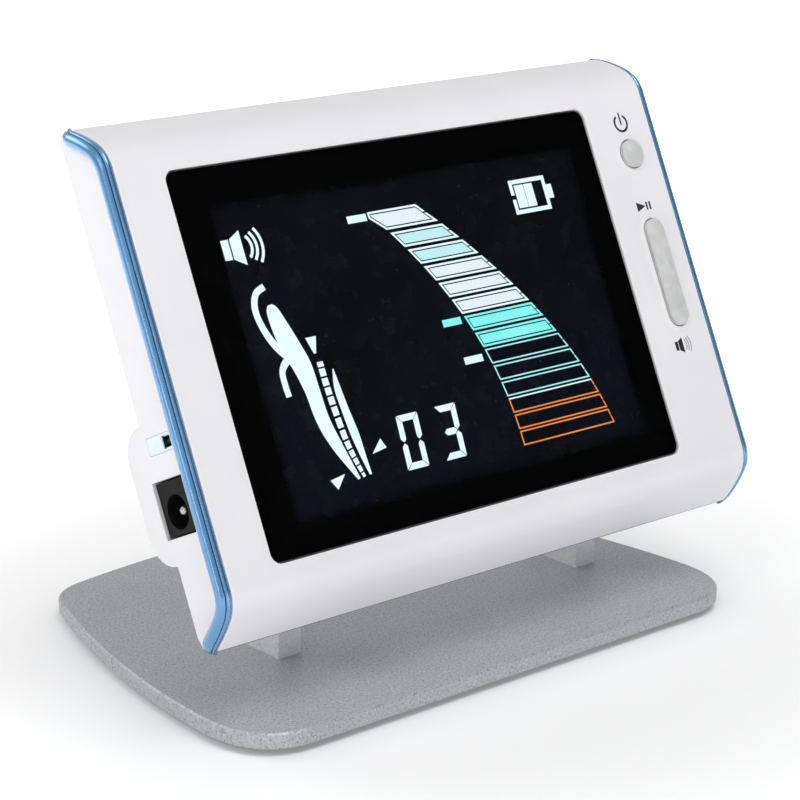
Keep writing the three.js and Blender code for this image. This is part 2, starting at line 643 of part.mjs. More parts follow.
add(head, "main_board", mainBoard(), BOARD_GREEN);
for (const [i, [x, z]] of BOARD_SCREWS.entries()) {
  const screw = screwY(x, z, 3.4, BOARD_BACK + CLEAR, BOARD_BACK + 1.5, 1, 1.9);
  add(head, `board_screw_${i + 1}`, screw, STEEL);
}
const onBoard = BOARD_BACK + CLEAR;
add(head, "controller_chip", box(-12, 0, onBoard, onBoard + 1.4, 8, 20), BLACK_PLASTIC);
add(head, "measuring_circuit_shield", box(-44, -24, onBoard, onBoard + 2.6, 4, 20), SHIELD_TIN);
const buzzer = rodY(BUZZER.x, BUZZER.z, onBoard, onBoard + 3.4, BUZZER.radius);
add(head, "buzzer", buzzer.subtract(rodY(BUZZER.x, BUZZER.z, onBoard + 1, 20, 0.9)), BLACK_PLASTIC);
const { x0, x1, y0, y1, z0, z1 } = BATTERY;
const cell = roundedRect((y0 + y1) / 2, (z0 + z1) / 2, y1 - y0, z1 - z0, 3.4);
add(head, "battery_pack", acrossX(cell, x0, x1), BATTERY_WRAP);

add(head, "power_button", powerButton(), KEY_PLASTIC);
add(head, "rocker_key", rockerKey(), KEY_PLASTIC);
const keyBoard = box(KEY_X - 4.6, KEY_X + 2.1, KEY_BOARD_FRONT, KEY_BOARD_BACK, -16, 31);
add(head, "key_board", keyBoard, BOARD_GREEN);
const SWITCHES = { power: POWER_Z, play: ROCKER_SWITCH_Z, volume: -ROCKER_SWITCH_Z };
for (const [name, z] of Object.entries(SWITCHES)) {
  add(head, `${name}_switch`, keySwitch(z), BLACK_PLASTIC);
  add(head, `${name}_switch_plunger`, switchPlunger(z), DIFFUSER);
}

add(head, "dc_jack", jackBody(), BLACK_PLASTIC);
add(head, "dc_jack_pin", jackPin(), STEEL);
add(head, "dc_jack_spring", jackSpring(), STEEL);
add(head, "probe_socket", probeSocket(), SHIELD_TIN);
add(head, "probe_socket_contact", probeContact(), TEAL_PLASTIC);

export default locator;
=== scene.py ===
"""Apex locator: the looks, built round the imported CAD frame.

Blender 4.5, metres, +Z up, front towards -Y. Pieces are built in millimetres in the head's own frame
(x across, y back from the front face, z up the face) and placed by HEAD. The stage is in metres.
"""

import json
import math

import bmesh
import bpy
from mathutils import Matrix, Vector
from mathutils.geometry import delaunay_2d_cdt


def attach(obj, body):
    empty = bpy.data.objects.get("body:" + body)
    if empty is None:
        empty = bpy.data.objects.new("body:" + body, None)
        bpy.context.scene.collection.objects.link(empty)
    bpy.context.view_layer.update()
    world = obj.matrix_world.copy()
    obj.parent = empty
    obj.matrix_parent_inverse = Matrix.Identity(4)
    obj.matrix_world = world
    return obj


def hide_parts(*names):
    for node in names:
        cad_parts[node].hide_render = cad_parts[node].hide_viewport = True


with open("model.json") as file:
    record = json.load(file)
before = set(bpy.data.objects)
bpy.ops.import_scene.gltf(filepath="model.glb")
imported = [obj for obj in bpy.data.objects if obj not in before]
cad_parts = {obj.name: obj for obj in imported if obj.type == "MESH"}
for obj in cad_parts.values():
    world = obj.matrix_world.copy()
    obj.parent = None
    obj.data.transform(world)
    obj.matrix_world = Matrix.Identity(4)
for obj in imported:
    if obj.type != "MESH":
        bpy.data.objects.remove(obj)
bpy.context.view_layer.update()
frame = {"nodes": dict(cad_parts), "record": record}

MM = 0.001
LEAN = math.radians(25.4)  # how far the head leans back at rest
SHARP = math.radians(38)  # an edge that turns more than this is drawn as a crease
WELD = 1e-3  # points nearer than this, in millimetres, are one point
FLAT_TURN = math.radians(0.6)  # CAD triangles that meet flatter than this are one face
EDGE_TURN = math.radians(33)  # a CAD edge that turns more than this is rounded
EDGE_STEPS = 4
cad = frame["nodes"]


# ---------------- places, from the frame
def corners(points):
    columns = list(zip(*points))
    return Vector(map(min, columns)), Vector(map(max, columns))


LEAN_TURN = Matrix.Rotation(-LEAN, 3, "X")


def face_centre():
    """Centre of the head's front face, in metres."""
    low, high = corners([LEAN_TURN.transposed() @ v.co for v in cad["front_cover"].data.vertices])
    return LEAN_TURN @ Vector(((low.x + high.x) / 2, low.y, (low.z + high.z) / 2))


HEAD = Matrix.Translation(face_centre()) @ LEAN_TURN.to_4x4() @ Matrix.Scale(MM, 4)


def head_box(name):
    """Lowest and highest corner of a CAD node in the head's frame."""
    inverse = HEAD.inverted()
    return corners([inverse @ v.co for v in cad[name].data.vertices])


# ---------------- mesh building
def inside(point, loop):
    hit = False
    for a, b in zip(loop, loop[1:] + loop[:1]):
        if (a.y > point.y) != (b.y > point.y):
            hit ^= point.x < (b.x - a.x) * (point.y - a.y) / (b.y - a.y) + a.x
    return hit


class Skin:
    """Collects rings of points, and the faces between them, for one piece."""

    def __init__(self):
        self.bm = bmesh.new()

    def ring(self, points):
        return [self.bm.verts.new(p) for p in points]

    def cap(self, ring, look=0):
        self.bm.faces.new(ring).material_index = look

    def band(self, a, b, closed=True, look=0, skip=None):
        """Faces between two rings. skip is the number of one face that is left out."""
        for i in range(len(a) if closed else len(a) - 1):
            if i != skip:
                j = (i + 1) % len(a)
                self.cap((a[i], a[j], b[j], b[i]), look)

    def loft(self, loops, ends=(True, True), look=0):
        rings = [self.ring(points) for points in loops]
        for a, b in zip(rings, rings[1:]):
            self.band(a, b, look=look)
        for end, wanted in zip((rings[0], rings[-1]), ends):
            if wanted:
                self.cap(end, look)
        return rings

    def plate(self, outer, holes, axes=(0, 2), look=0):
        """Fills the flat region between a ring and its holes. axes are the two axes that it lies in."""
        rings = [outer] + holes
        verts = [v for ring in rings for v in ring]
        flat = [Vector((v.co[axes[0]], v.co[axes[1]])) for v in verts]
        edges, loops, start = [], [], 0
        for ring in rings:
            count = len(ring)
            edges += [(start + i, start + (i + 1) % count) for i in range(count)]
            loops.append(flat[start : start + count])
            start += count
        _, _, triangles, sources, _, _ = delaunay_2d_cdt(flat, edges, [], 0, 1e-6)
        for triangle in triangles:
            spots = [sources[i][0] for i in triangle]
            centre = sum((flat[i] for i in spots), Vector((0, 0))) / 3
            if inside(centre, loops[0]) and not any(inside(centre, hole) for hole in loops[1:]):
                self.cap([verts[i] for i in spots], look)

    def chip(self, outline, y0, y1):
        """A thin prism: an outline of (x, z) points from depth y0 to y1."""
        self.loft([at_depth(outline, y) for y in (y0, y1)])


def add_object(name, data):
    made = bpy.data.objects.new(name, data)
    bpy.context.scene.collection.objects.link(made)
    return made


def put(skin, name, looks, stands_for=(), body="head"):
    """Turns a skin into a piece that rides on a body and stands for the named CAD nodes."""
    bm = skin.bm
    bmesh.ops.remove_doubles(bm, verts=bm.verts, dist=WELD)
    bmesh.ops.recalc_face_normals(bm, faces=bm.faces)
    spot = bm.verts.layers.float_vector.new("spot")
    for v in bm.verts:
        v[spot] = v.co
    bm.transform(HEAD)
    for face in bm.faces:
        face.smooth = True
    for edge in bm.edges:
        edge.smooth = len(edge.link_faces) == 2 and edge.calc_face_angle() < SHARP
    mesh = bpy.data.meshes.new(name)
    bm.to_mesh(mesh)
    bm.free()
    for look in looks:
        mesh.materials.append(look.material)
    piece = add_object(name, mesh)
    piece.modifiers.new("even_normals", "WEIGHTED_NORMAL").keep_sharp = True
    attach(piece, body)
    if stands_for:
        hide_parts(*stands_for)


def rounded_copy(name, rounds):
    """A skin with a CAD node's shape, its triangles joined into whole faces and its edges rounded.

    rounds lists (radius, steps, wanted), where wanted picks edges by their two end points."""
    skin = Skin()
    bm = skin.bm
    bm.from_mesh(cad[name].data)
    bm.transform(HEAD.inverted())
    bmesh.ops.remove_doubles(bm, verts=bm.verts, dist=WELD)
    bmesh.ops.dissolve_limit(bm, angle_limit=FLAT_TURN, verts=bm.verts, edges=bm.edges)
    for radius, steps, wanted in rounds:
        edges = [
            e
            for e in bm.edges
            if len(e.link_faces) == 2
            and e.calc_face_angle() > EDGE_TURN
            and wanted(e.verts[0].co, e.verts[1].co)
        ]
        bmesh.ops.bevel(
            bm, geom=edges, offset=radius, segments=steps, profile=0.5, affect="EDGES", clamp_overlap=True
        )
    return skin


def rounded(cx, cz, half_w, half_h, radius, grow=0.0, steps=8):
    """A rounded rectangle of (x, z) points, grown outwards by grow."""
    points = []
    for quarter, (sx, sz) in enumerate(((1, 1), (-1, 1), (-1, -1), (1, -1))):
        ox, oz = cx + sx * (half_w - radius), cz + sz * (half_h - radius)
        for i in range(steps + 1):
            a = math.pi / 2 * (quarter + i / steps)
            points.append((ox + (radius + grow) * math.cos(a), oz + (radius + grow) * math.sin(a)))
    return points


def at_depth(points, y):
    return [(x, y, z) for x, z in points]


def quarter_round(radius):
    """(how far out, how deep) along a rounded edge, from the face down into the wall."""
    turns = [math.pi / 2 * i / EDGE_STEPS for i in range(EDGE_STEPS + 1)]
    return [(radius * (1 - math.sin(a)), radius * (1 - math.cos(a))) for a in turns]


# ---------------- materials
class Nodes:
    """The shader nodes of a material or of the world."""

    def __init__(self, owner):
        owner.use_nodes = True
        self.tree = owner.node_tree

    def node(self, kind, **settings):
        made = self.tree.nodes.new("ShaderNode" + kind)
        for key, value in settings.items():
            setattr(made, key, value)
        return made

    def link(self, out, into):
        self.tree.links.new(out, into)

    def ramp(self, value, low, high, start=0.3, end=0.7, **settings):
        """low to high, as value goes from start to end."""
        made = self.node("MapRange", **settings)
        for key, number in (("From Min", start), ("From Max", end), ("To Min", low), ("To Max", high)):
            made.inputs[key].default_value = number
        self.link(value, made.inputs["Value"])
        return made.outputs["Result"]


class Look(Nodes):
    """A Principled material, with short ways to add procedural detail to it. Sizes are in millimetres."""

    def __init__(self, name, color, roughness, metallic=0.0, **inputs):
        self.material = bpy.data.materials.new(name)
        super().__init__(self.material)
        self.bsdf = self.tree.nodes["Principled BSDF"]
        self.set("Base Color", (*color, 1))
        self.set("Roughness", roughness)
        self.set("Metallic", metallic)
        for key, value in inputs.items():
            self.set(key.replace("_", " "), value)
        self.normal = None
        self.spot = self.node("TexCoord").outputs["Object"]

    def set(self, name, value):
        self.bsdf.inputs[name].default_value = value

    def texture(self, kind, size, squeeze=(1, 1, 1), **settings):
        """A texture of patches about size across. squeeze makes them that much shorter along each axis."""
        made = self.node(kind, **settings)
        made.inputs["Scale"].default_value = 1 / (size * MM)
        spread = self.node("VectorMath", operation="MULTIPLY")
        spread.inputs[1].default_value = squeeze
        self.link(self.spot, spread.inputs[0])
        self.link(spread.outputs[0], made.inputs["Vector"])
        return made

    def noise(self, size, detail, squeeze=(1, 1, 1)):
        made = self.texture("TexNoise", size, squeeze)
        made.inputs["Detail"].default_value = detail
        return made.outputs["Fac"]

    def cells(self, size, feature="F1"):
        return self.texture("TexVoronoi", size, feature=feature).outputs["Distance"]

    def calculate(self, operation, *values):
        """The result of a Math node. Each value is a number or another node's output."""
        made = self.node("Math", operation=operation)
        for value, socket in zip(values, made.inputs):
            if isinstance(value, bpy.types.NodeSocket):
                self.link(value, socket)
            else:
                socket.default_value = value
        return made.outputs[0]

    def tint(self, value, other, start=0.3, end=0.7, into="Base Color"):
        """Mixes another colour in where value is high."""
        mix = self.node("Mix", data_type="RGBA")
        socket = self.bsdf.inputs[into]
        if socket.is_linked:
            self.link(socket.links[0].from_socket, mix.inputs[6])
        else:
            mix.inputs[6].default_value = socket.default_value
        mix.inputs[7].default_value = (*other, 1)
        self.link(self.ramp(value, 0, 1, start, end), mix.inputs[0])
        self.link(mix.outputs[2], socket)
        return self

    def gloss(self, value, low, high):
        self.link(self.ramp(value, low, high), self.bsdf.inputs["Roughness"])
        return self

    def bump(self, value, height, strength=1.0):
        made = self.node("Bump")
        made.inputs["Strength"].default_value = strength
        made.inputs["Distance"].default_value = height * MM
        self.link(value, made.inputs["Height"])
        if self.normal:
            self.link(self.normal, made.inputs["Normal"])
        self.normal = made.outputs["Normal"]
        self.link(self.normal, self.bsdf.inputs["Normal"])
        return self


def moulded(name, color, roughness, shade, grain=0.35, height=0.006, **inputs):
    """A moulded plastic: faint flow marks in the colour and a fine spark-eroded grain."""
    look = Look(name, color, roughness, **inputs)
    look.tint(look.noise(22, 2), shade)
    look.gloss(look.noise(3, 4), roughness - 0.05, roughness + 0.06)
    look.bump(look.noise(grain, 3), height)
    return look.bump(look.noise(14, 1), 0.02, 0.5)


def machined(name, color, roughness, shade, grain, squeeze=(1, 1, 1), height=0.01, metallic=1.0):
    """A metal with tool marks or blasting grain, and patches of duller surface."""
    look = Look(name, color, roughness, metallic)
    look.tint(look.noise(9, 4), shade)
    look.gloss(look.noise(grain * 2, 4, squeeze), roughness - 0.1, roughness + 0.1)
    return look.bump(look.noise(grain, 2, squeeze), height)


def blasted_aluminium(name, color, metallic, sparkle):
    """Sand-blasted aluminium: matt, with fine bright and dark grains."""
    look = machined(name, color, 0.46, [0.94 * c for c in color], 0.25, height=0.02, metallic=metallic)
    look.tint(look.cells(0.6), [min(sparkle * c, 1) for c in color], 0.24, 0.1)
    look.tint(look.noise(0.5, 2), [c / sparkle for c in color], 0.52, 0.68)
    return look.bump(look.cells(0.6), 0.03, 0.7)


def blue_paint():
    look = Look("blue_paint", (0.13, 0.33, 0.58), 0.25, 0.7, Coat_Weight=1.0, Coat_Roughness=0.2)
    look.tint(look.cells(0.2), (0.25, 0.5, 0.76), 0.16, 0.04)
    look.tint(look.noise(8, 3), (0.10, 0.27, 0.51))
    look.gloss(look.noise(2, 3), 0.22, 0.29)
    return look.bump(look.noise(0.4, 2), 0.0008, 0.5)


def circuit_board():
    look = Look("circuit_board", (0.012, 0.11, 0.045), 0.38, Coat_Weight=0.3)
    look.tint(look.cells(2.4, "DISTANCE_TO_EDGE"), (0.02, 0.2, 0.08), 0.09, 0.03)
    look.tint(look.noise(5, 2), (0.008, 0.08, 0.035))
    look.gloss(look.noise(1, 3), 0.3, 0.45)
    return look.bump(look.cells(2.4, "DISTANCE_TO_EDGE"), 0.03, 0.4)


def lit(name, color, strength, shade):
    """A lit display segment. The light is a little uneven, as a backlight is."""
    look = Look(name, (0.02, 0.02, 0.02), 0.4, Emission_Color=(*color, 1), Emission_Strength=strength)
    look.tint(look.noise(9, 2), shade, into="Emission Color")
    look.gloss(look.noise(1.5, 2), 0.35, 0.45)
    return look


def cloudy_key():
    """Translucent plastic with soft lighter clouds in it."""
    look = moulded(
        "key_plastic", (0.53, 0.555, 0.54), 0.3, (0.57, 0.59, 0.58), 0.4, 0.004,
        Subsurface_Weight=0.25, Subsurface_Radius=(0.003, 0.003, 0.003),
    )
    return look.tint(look.noise(2.4, 2), (0.63, 0.65, 0.64), 0.45, 0.7)


def clear_glass():
    look = Look("window_glass", (0.93, 0.95, 0.97), 0.02, IOR=1.3, Transmission_Weight=1.0)
    look.gloss(look.noise(30, 2), 0.0, 0.03)
    return look.bump(look.noise(40, 1), 0.002, 0.1)


def display_glass(centre, half, soft):
    """Near black, with a faint navy glow painted in as emission inside the lit area, which has soft edges:
    painted light in place of the room light that reaches the display through the glass.
    """
    look = Look("display_glass", (0.002, 0.002, 0.003), 0.25, Emission_Strength=1.0)
    place = look.node("Attribute", attribute_name="spot")
    axes = look.node("SeparateXYZ")
    look.link(place.outputs["Vector"], axes.inputs[0])
    shares = []
    for axis, middle, reach in (("X", centre[0], half[0]), ("Z", centre[1], half[1])):
        away = look.calculate("SUBTRACT", axes.outputs[axis], middle)
        shares.append(look.ramp(look.calculate("ABSOLUTE", away), 1, 0, reach - soft, reach))
    # painted light: this navy emission, made uneven by noise, stands in for room light falling on the display
    # through the glass
    look.set("Emission Color", (0.0002, 0.0002, 0.0004, 1))
    lit_area = look.calculate("MULTIPLY", *shares)
    look.tint(lit_area, (0.0019, 0.0031, 0.0068), 0, 1, into="Emission Color")
    look.tint(look.noise(34, 1), (0.0016, 0.0021, 0.003), 0.4, 0.62, into="Emission Color")
    look.gloss(look.noise(4, 2), 0.2, 0.3)
    return look


white_plastic = moulded("white_plastic", (0.80, 0.79, 0.815), 0.36, (0.765, 0.755, 0.785))
white_inside = moulded(
    "white_plastic_inside", (0.76, 0.76, 0.77), 0.5, (0.7, 0.7, 0.71), height=0.012
)
black_plastic = moulded(
    "black_plastic", (0.006, 0.006, 0.006), 0.55, (0.004, 0.004, 0.004), 0.25, IOR=1.25
)
key_plastic = cloudy_key()
black_print = moulded(
    "black_print", (0.0006, 0.0006, 0.0008), 0.2, (0.001, 0.001, 0.0012), 0.2, 0.001, IOR=1.35
)
window_glass = clear_glass()
symbol_ink = moulded("symbol_ink", (0.012, 0.012, 0.014), 0.45, (0.03, 0.03, 0.032), 0.15, 0.004)
pale_ink = moulded("pale_symbol_ink", (0.30, 0.30, 0.32), 0.45, (0.36, 0.36, 0.38), 0.15, 0.004)
teal_plastic = moulded("teal_plastic", (0.012, 0.10, 0.11), 0.34, (0.02, 0.15, 0.16), 0.3, 0.004)
pale_lens = moulded("pale_lens", (0.70, 0.83, 0.86), 0.3, (0.76, 0.86, 0.88), 0.4, 0.003)
diffuser = moulded("diffuser_sheet", (0.86, 0.88, 0.87), 0.45, (0.8, 0.83, 0.82), 0.3)
battery_wrap = moulded("battery_wrap", (0.02, 0.13, 0.38), 0.28, (0.03, 0.18, 0.46), 1.2, 0.03)
black_rubber = moulded("black_rubber", (0.02, 0.02, 0.021), 0.8, (0.032, 0.032, 0.033), 0.5, 0.04)
aluminium = blasted_aluminium("blasted_aluminium", (0.47, 0.485, 0.51), 0.35, 1.6)
bright_aluminium = blasted_aluminium("bright_aluminium", (0.76, 0.77, 0.78), 0.3, 1.25)
blue_trim = blue_paint()
steel = machined("steel", (0.56, 0.57, 0.58), 0.28, (0.45, 0.46, 0.47), 0.12, (1, 6, 1))
tinned = machined("tinned_steel", (0.66, 0.67, 0.68), 0.32, (0.55, 0.56, 0.57), 0.2, (6, 1, 1))
brass = machined("brass", (0.62, 0.42, 0.17), 0.3, (0.5, 0.33, 0.12), 0.15, (1, 6, 6))
green_board = circuit_board()

LOOK_OF_SLOT = {
    "black_plastic": black_plastic,
    "diffuser": diffuser,
    "steel": steel,
    "brass": brass,
    "circuit_board": green_board,
    "black_rubber": black_rubber,
    "battery_wrap": battery_wrap,
    "teal_plastic": teal_plastic,
    "tinned_steel": tinned,
    "stand_aluminium": aluminium,
}


# ---------------- head shells
FLAT_HALF = 38.7  # half-height of the flat part of the front
ROLL_RADIUS = 7.6  # tight bend at the start of a rolled edge, then a long easy one
ROLL_ANGLE = math.radians(50)
ROLL_STEPS = 14
TAIL_RADIUS = 36.0
TAIL_STEPS = 8
FRONT_WALL = 2.2
FRONT_REACH = 9.4  # how far back the front cover's rolled edges go
COVER_EDGE = 0.3
SMALL_CORNER = 0.3
BOSSES = (  # the screws, how many there are, and their bosses' end depth, outer and inner radius
    ("cover_screw", 4, 12.1, 2.5, 1.4),
    ("board_screw", 3, 6.1, 2.2, 1.3),
)
BOSS_CHAMFER = 0.2
TIP_CORNER = 1.6  # radius of the head's corners, seen square on
TIP_TOP = 49.7
cover_low, cover_high = head_box("front_cover")
LEFT_SIDE = 0.6  # the left side of the head is narrower
LEFT_END = cover_low.x + LEFT_SIDE
KEY_SIDE = 2.7  # the key side of the head is wider
RIGHT_END = cover_high.x + KEY_SIDE
window_low, window_high = head_box("display_window")
WINDOW_GAP = 0.3
WINDOW_CENTRE = ((window_low.x + window_high.x) / 2, (window_low.z + window_high.z) / 2)
WINDOW_HALF = ((window_high.x - window_low.x) / 2, (window_high.z - window_low.z) / 2)
WINDOW_CORNER = 1.9
WINDOW_RIM = 0.6  # flat ring round the opening
WINDOW_EDGE = 0.15
WINDOW_RECESS = 1.7
WINDOW_LEDGE = 2.5  # width of the ledge that the window lies on
KEY_GAP = 0.16
COLLAR_WIDTH = 1.25
COLLAR_HEIGHT = 0.2
COLLAR_LIP = 0.1
COLLAR_STEPS = 10
COLLAR_MARGIN = 0.1  # flat ring round a collar
COLLAR_TOP = 0.05  # flat ring between a collar's rise and its lip
plunger_low, plunger_high = head_box("power_switch_plunger")
plunger_middle = (plunger_low + plunger_high) / 2
POWER_AT = (plunger_middle.x, plunger_middle.z)
POWER_HALF = (2.95, 2.95)
ROCKER_AT = (POWER_AT[0], 0.0)
rocker_low, rocker_high = head_box("rocker_key")
ROCKER_HALF = (2.55, (rocker_high.z - rocker_low.z) / 2)


def roll_line(inset, reach):
    """Upper half of the front surface as (y, z, turn) points, set in by inset and ended at depth reach."""
    extra = TAIL_RADIUS - ROLL_RADIUS
    tail_y = ROLL_RADIUS + extra * math.cos(ROLL_ANGLE)
    tail_z = FLAT_HALF - extra * math.sin(ROLL_ANGLE)
    last = math.acos((tail_y - reach) / (TAIL_RADIUS - inset))
    points = []
    for i in range(ROLL_STEPS + 1):
        a, r = ROLL_ANGLE * i / ROLL_STEPS, ROLL_RADIUS - inset
        points.append((ROLL_RADIUS - r * math.cos(a), FLAT_HALF + r * math.sin(a), a))
    for i in range(1, TAIL_STEPS + 1):
        a, r = ROLL_ANGLE + (last - ROLL_ANGLE) * i / TAIL_STEPS, TAIL_RADIUS - inset
        points.append((tail_y - r * math.cos(a), tail_z + r * math.sin(a), a))
    return points


def whole_line(inset, reach):
    upper = roll_line(inset, reach)
    return [(y, -z, -a) for y, z, a in reversed(upper)] + upper


def tip_inset(z):
    """How far the head's end is set in at height z, by the rounded corner."""
    over = min(max(abs(z) - (TIP_TOP - TIP_CORNER), 0), TIP_CORNER)
    return TIP_CORNER - math.sqrt(TIP_CORNER**2 - over**2)


def end_line(x, side, inset):
    """The front surface's line at x, near the head's left (-1) or right (1) end."""
    return [(x - side * tip_inset(z), y, z) for y, z, _ in whole_line(inset, FRONT_REACH)]


def collar_section():
    """(how far out, how deep) rings of a key hole: a soft collar round it, then its rounded lip."""
    rise = [0.5 - 0.5 * math.cos(math.pi * i / COLLAR_STEPS) for i in range(COLLAR_STEPS + 1)]
    slope = COLLAR_WIDTH - COLLAR_LIP - COLLAR_TOP
    steps = [(COLLAR_WIDTH - slope * i / COLLAR_STEPS, -COLLAR_HEIGHT * up) for i, up in enumerate(rise)]
    return steps + [(out, deep - COLLAR_HEIGHT) for out, deep in quarter_round(COLLAR_LIP)]


def rounded_grown(shape, grow):
    """A rounded rectangle grown by grow. One that shrinks past its corner radius gets a small corner."""
    cx, cz, half_w, half_h, radius = shape
    if grow <= -radius:
        return rounded(cx, cz, half_w + grow, half_h + grow, SMALL_CORNER)
    return rounded(cx, cz, half_w, half_h, radius, grow)


def cover_openings():
    """The window's opening and the key holes, each as its rounded rectangle and its section."""
    half_w, half_h = (half + WINDOW_GAP for half in WINDOW_HALF)
    ledge = [(0, WINDOW_RECESS), (-WINDOW_LEDGE, WINDOW_RECESS), (-WINDOW_LEDGE, FRONT_WALL)]
    section = [(WINDOW_RIM, 0)] + quarter_round(WINDOW_EDGE) + ledge
    openings = [((*WINDOW_CENTRE, half_w, half_h, WINDOW_CORNER + WINDOW_GAP), section)]
    section = [(COLLAR_WIDTH + COLLAR_MARGIN, 0)] + collar_section() + [(0, FRONT_WALL)]
    for centre, half in ((POWER_AT, POWER_HALF), (ROCKER_AT, ROCKER_HALF)):
        half_w, half_h = half[0] + KEY_GAP, half[1] + KEY_GAP
        openings.append(((*centre, half_w, half_h, half_w), section))
    return openings


def front_cover():
    skin = Skin()
    edge = quarter_round(COVER_EDGE)
    rows = [(LEFT_END + out, -1, deep) for out, deep in reversed(edge)]
    rows += [(RIGHT_END - out, 1, deep) for out, deep in edge]
    lines = [skin.ring(end_line(x, side, deep)) for x, side, deep in sorted(rows)]
    inner = [skin.ring(end_line(x, side, FRONT_WALL)) for x, side in ((LEFT_END, -1), (RIGHT_END, 1))]
    middle = len(lines) // 2 - 1
    low_flat = len(lines[0]) // 2 - 1

    def flat_part(left, right):
        return [left[low_flat], left[low_flat + 1], right[low_flat + 1], right[low_flat]]

    for i, (a, b) in enumerate(zip(lines, lines[1:])):
        skin.band(a, b, closed=False, skip=low_flat if i == middle else None)
    skin.band(*inner, closed=False, skip=low_flat)
    skin.band(lines[0], inner[0], closed=False)
    skin.band(lines[-1], inner[1], closed=False)
    for end in (0, -1):
        skin.cap([line[end] for line in lines] + [inner[1][end], inner[0][end]])

    front_holes, back_holes = [], []
    for shape, section in cover_openings():
        loops = [at_depth(rounded_grown(shape, out), deep) for out, deep in section]
        rings = skin.loft(loops, (False, False))
        front_holes.append(rings[0])
        back_holes.append(rings[-1])
    skin.plate(flat_part(lines[middle], lines[middle + 1]), front_holes)
    skin.plate(flat_part(*inner), back_holes)
    put(skin, "front_cover_shell", [white_plastic], ["front_cover"])


def screw_bosses():
    """Bosses inside the front cover that take the cover screws and the board screws."""
    skin = Skin()
    for screw, count, end, outer, inner in BOSSES:
        for number in range(1, count + 1):
            low, high = head_box(f"{screw}_{number}")
            tube(skin, (low.x + high.x) / 2, (low.z + high.z) / 2, FRONT_WALL, end, outer, inner)
    put(skin, "front_cover_bosses", [white_inside])


def tube(skin, x, z, y0, y1, outer, inner):
    shoulder = [(outer, y1 - BOSS_CHAMFER), (outer - BOSS_CHAMFER, y1)]
    loops = [(outer, y0)] + shoulder + [(inner, y1), (inner, y0)]
    rings = skin.loft([at_depth(rounded(x, z, r, r, r, steps=5), y) for r, y in loops], (False, False))
    skin.band(rings[-1], rings[0])


# ---------------- blue trim
BEAD_GAP = 0.1
BEAD_REACH = 10.6
LINE_MIDDLE = 47.85  # height of the middle of the thin trim line
LOW_LINE_MIDDLE = 48.2  # the lower one stands out a little more
LINE_DEPTH = 10.35  # how far back the middle of the thin line is
LINE_HALF = (0.65, 0.9)
LINE_CORNER = 0.3
SIDE_LOBE = (0.75, 1.7, 1.45)  # middle across, middle inwards, radius
FRONT_LOBE = (0.55, 0.45)  # half-width and half-depth
BEAD_WALL = ((0, 3.15), (0, 1.6))  # the flat side against the cover
CREASE = (0.04, 0.25)  # from the front lobe's outer side: outwards, inwards
FRONT_TURNS = (180, 155, 130, 105, 80, 55, 35, 15, -5)
SIDE_TURNS = range(66, -77, -11)
TIP_TURNS = (35, 65)
TIP_LENGTH = 0.9


def bead_section():
    """(across, inwards) points round the bead: a narrow front lobe, a crease and a fuller side lobe."""
    half_w, half_d = FRONT_LOBE
    points = list(BEAD_WALL)
    for degrees in FRONT_TURNS:
        a = math.radians(degrees)
        points.append((half_w + half_w * math.cos(a), half_d - half_d * math.sin(a)))
    points.append((2 * half_w + CREASE[0], half_d + CREASE[1]))
    across, inward, radius = SIDE_LOBE
    for degrees in SIDE_TURNS:
        a = math.radians(degrees)
        points.append((across + radius * math.cos(a), inward - radius * math.sin(a)))
    return points


def trim_band():
    for side, start, name in ((-1, LEFT_END, "left"), (1, RIGHT_END, "right")):
        skin = Skin()
        loops = []
        for y, z, a in whole_line(0, BEAD_REACH):
            inner = start + side * (BEAD_GAP - tip_inset(z))
            loops.append([
                (inner + side * across, y + inward * math.cos(a), z - inward * math.sin(a))
                for across, inward in bead_section()
            ])
        loops = rounded_end(loops[0], loops[1])[::-1] + loops + rounded_end(loops[-1], loops[-2])
        skin.loft(loops)
        put(skin, f"trim_bead_{name}", [blue_trim], ["trim_band"] if side < 0 else ())
    skin = Skin()
    for height in (-LOW_LINE_MIDDLE, LINE_MIDDLE):
        shape = rounded(LINE_DEPTH, height, *LINE_HALF, LINE_CORNER, steps=3)
        skin.loft([[(x, y, z) for y, z in shape] for x in (LEFT_END + TIP_CORNER, RIGHT_END - TIP_CORNER)])
    put(skin, "trim_line", [blue_trim])


def rounded_end(last, before):
    """Two smaller rings past a loop's end, which close it with a rounded tip."""
    centre = sum((Vector(p) for p in last), Vector()) / len(last)
    ahead = centre - sum((Vector(p) for p in before), Vector()) / len(before)
    ahead.normalize()
    rings = []
    for turn in TIP_TURNS:
        a = math.radians(turn)
        tip = ahead * TIP_LENGTH * math.sin(a)
        rings.append([centre + (Vector(p) - centre) * math.cos(a) + tip for p in last])
    return rings


# ---------------- rear cover and door
rear_low, rear_high = head_box("rear_cover")
SIDE_START = 11.5  # depth past which the side's outline has a rounded edge
SIDE_ROUND = 1.1
SIDE_MARGIN = 0.05  # a point nearer the side than this is on it
OPENING_MARGIN = 0.5  # a point nearer an opening than this is at it
OPENING_ROUND = 0.22
KEY_END = 3.0  # length of the key end that is moved out by KEY_SIDE
FOOT_LINE = -45.0  # below this height the rear cover's back tapers
FOOT_START = 10.9
FOOT_TAPER = 0.5
LENS_GROW = 0.24  # the lens nearly fills the opening in the side
LENS_SETBACK = 0.02
LENS_GAP = 0.03  # between the lens and the socket behind it
LENS_CORNER = 0.2
SLOT_SHARE = 0.36  # share of the lens that its slot takes up
SLOT_CORNER = 0.15
DOOR_ROUND = 0.2
DOOR_PANEL = 0.8  # the door's edges nearer its outer face than this are rounded
RIB_COUNT = 7
RIB_STEP = 1.7
RIB_START = 7
RIB_HALF = 4
RIB_SECTION = ((0.5, -0.3), (0.5, 0.1), (0.3, 0.3))  # half-width, distance out from the door's face


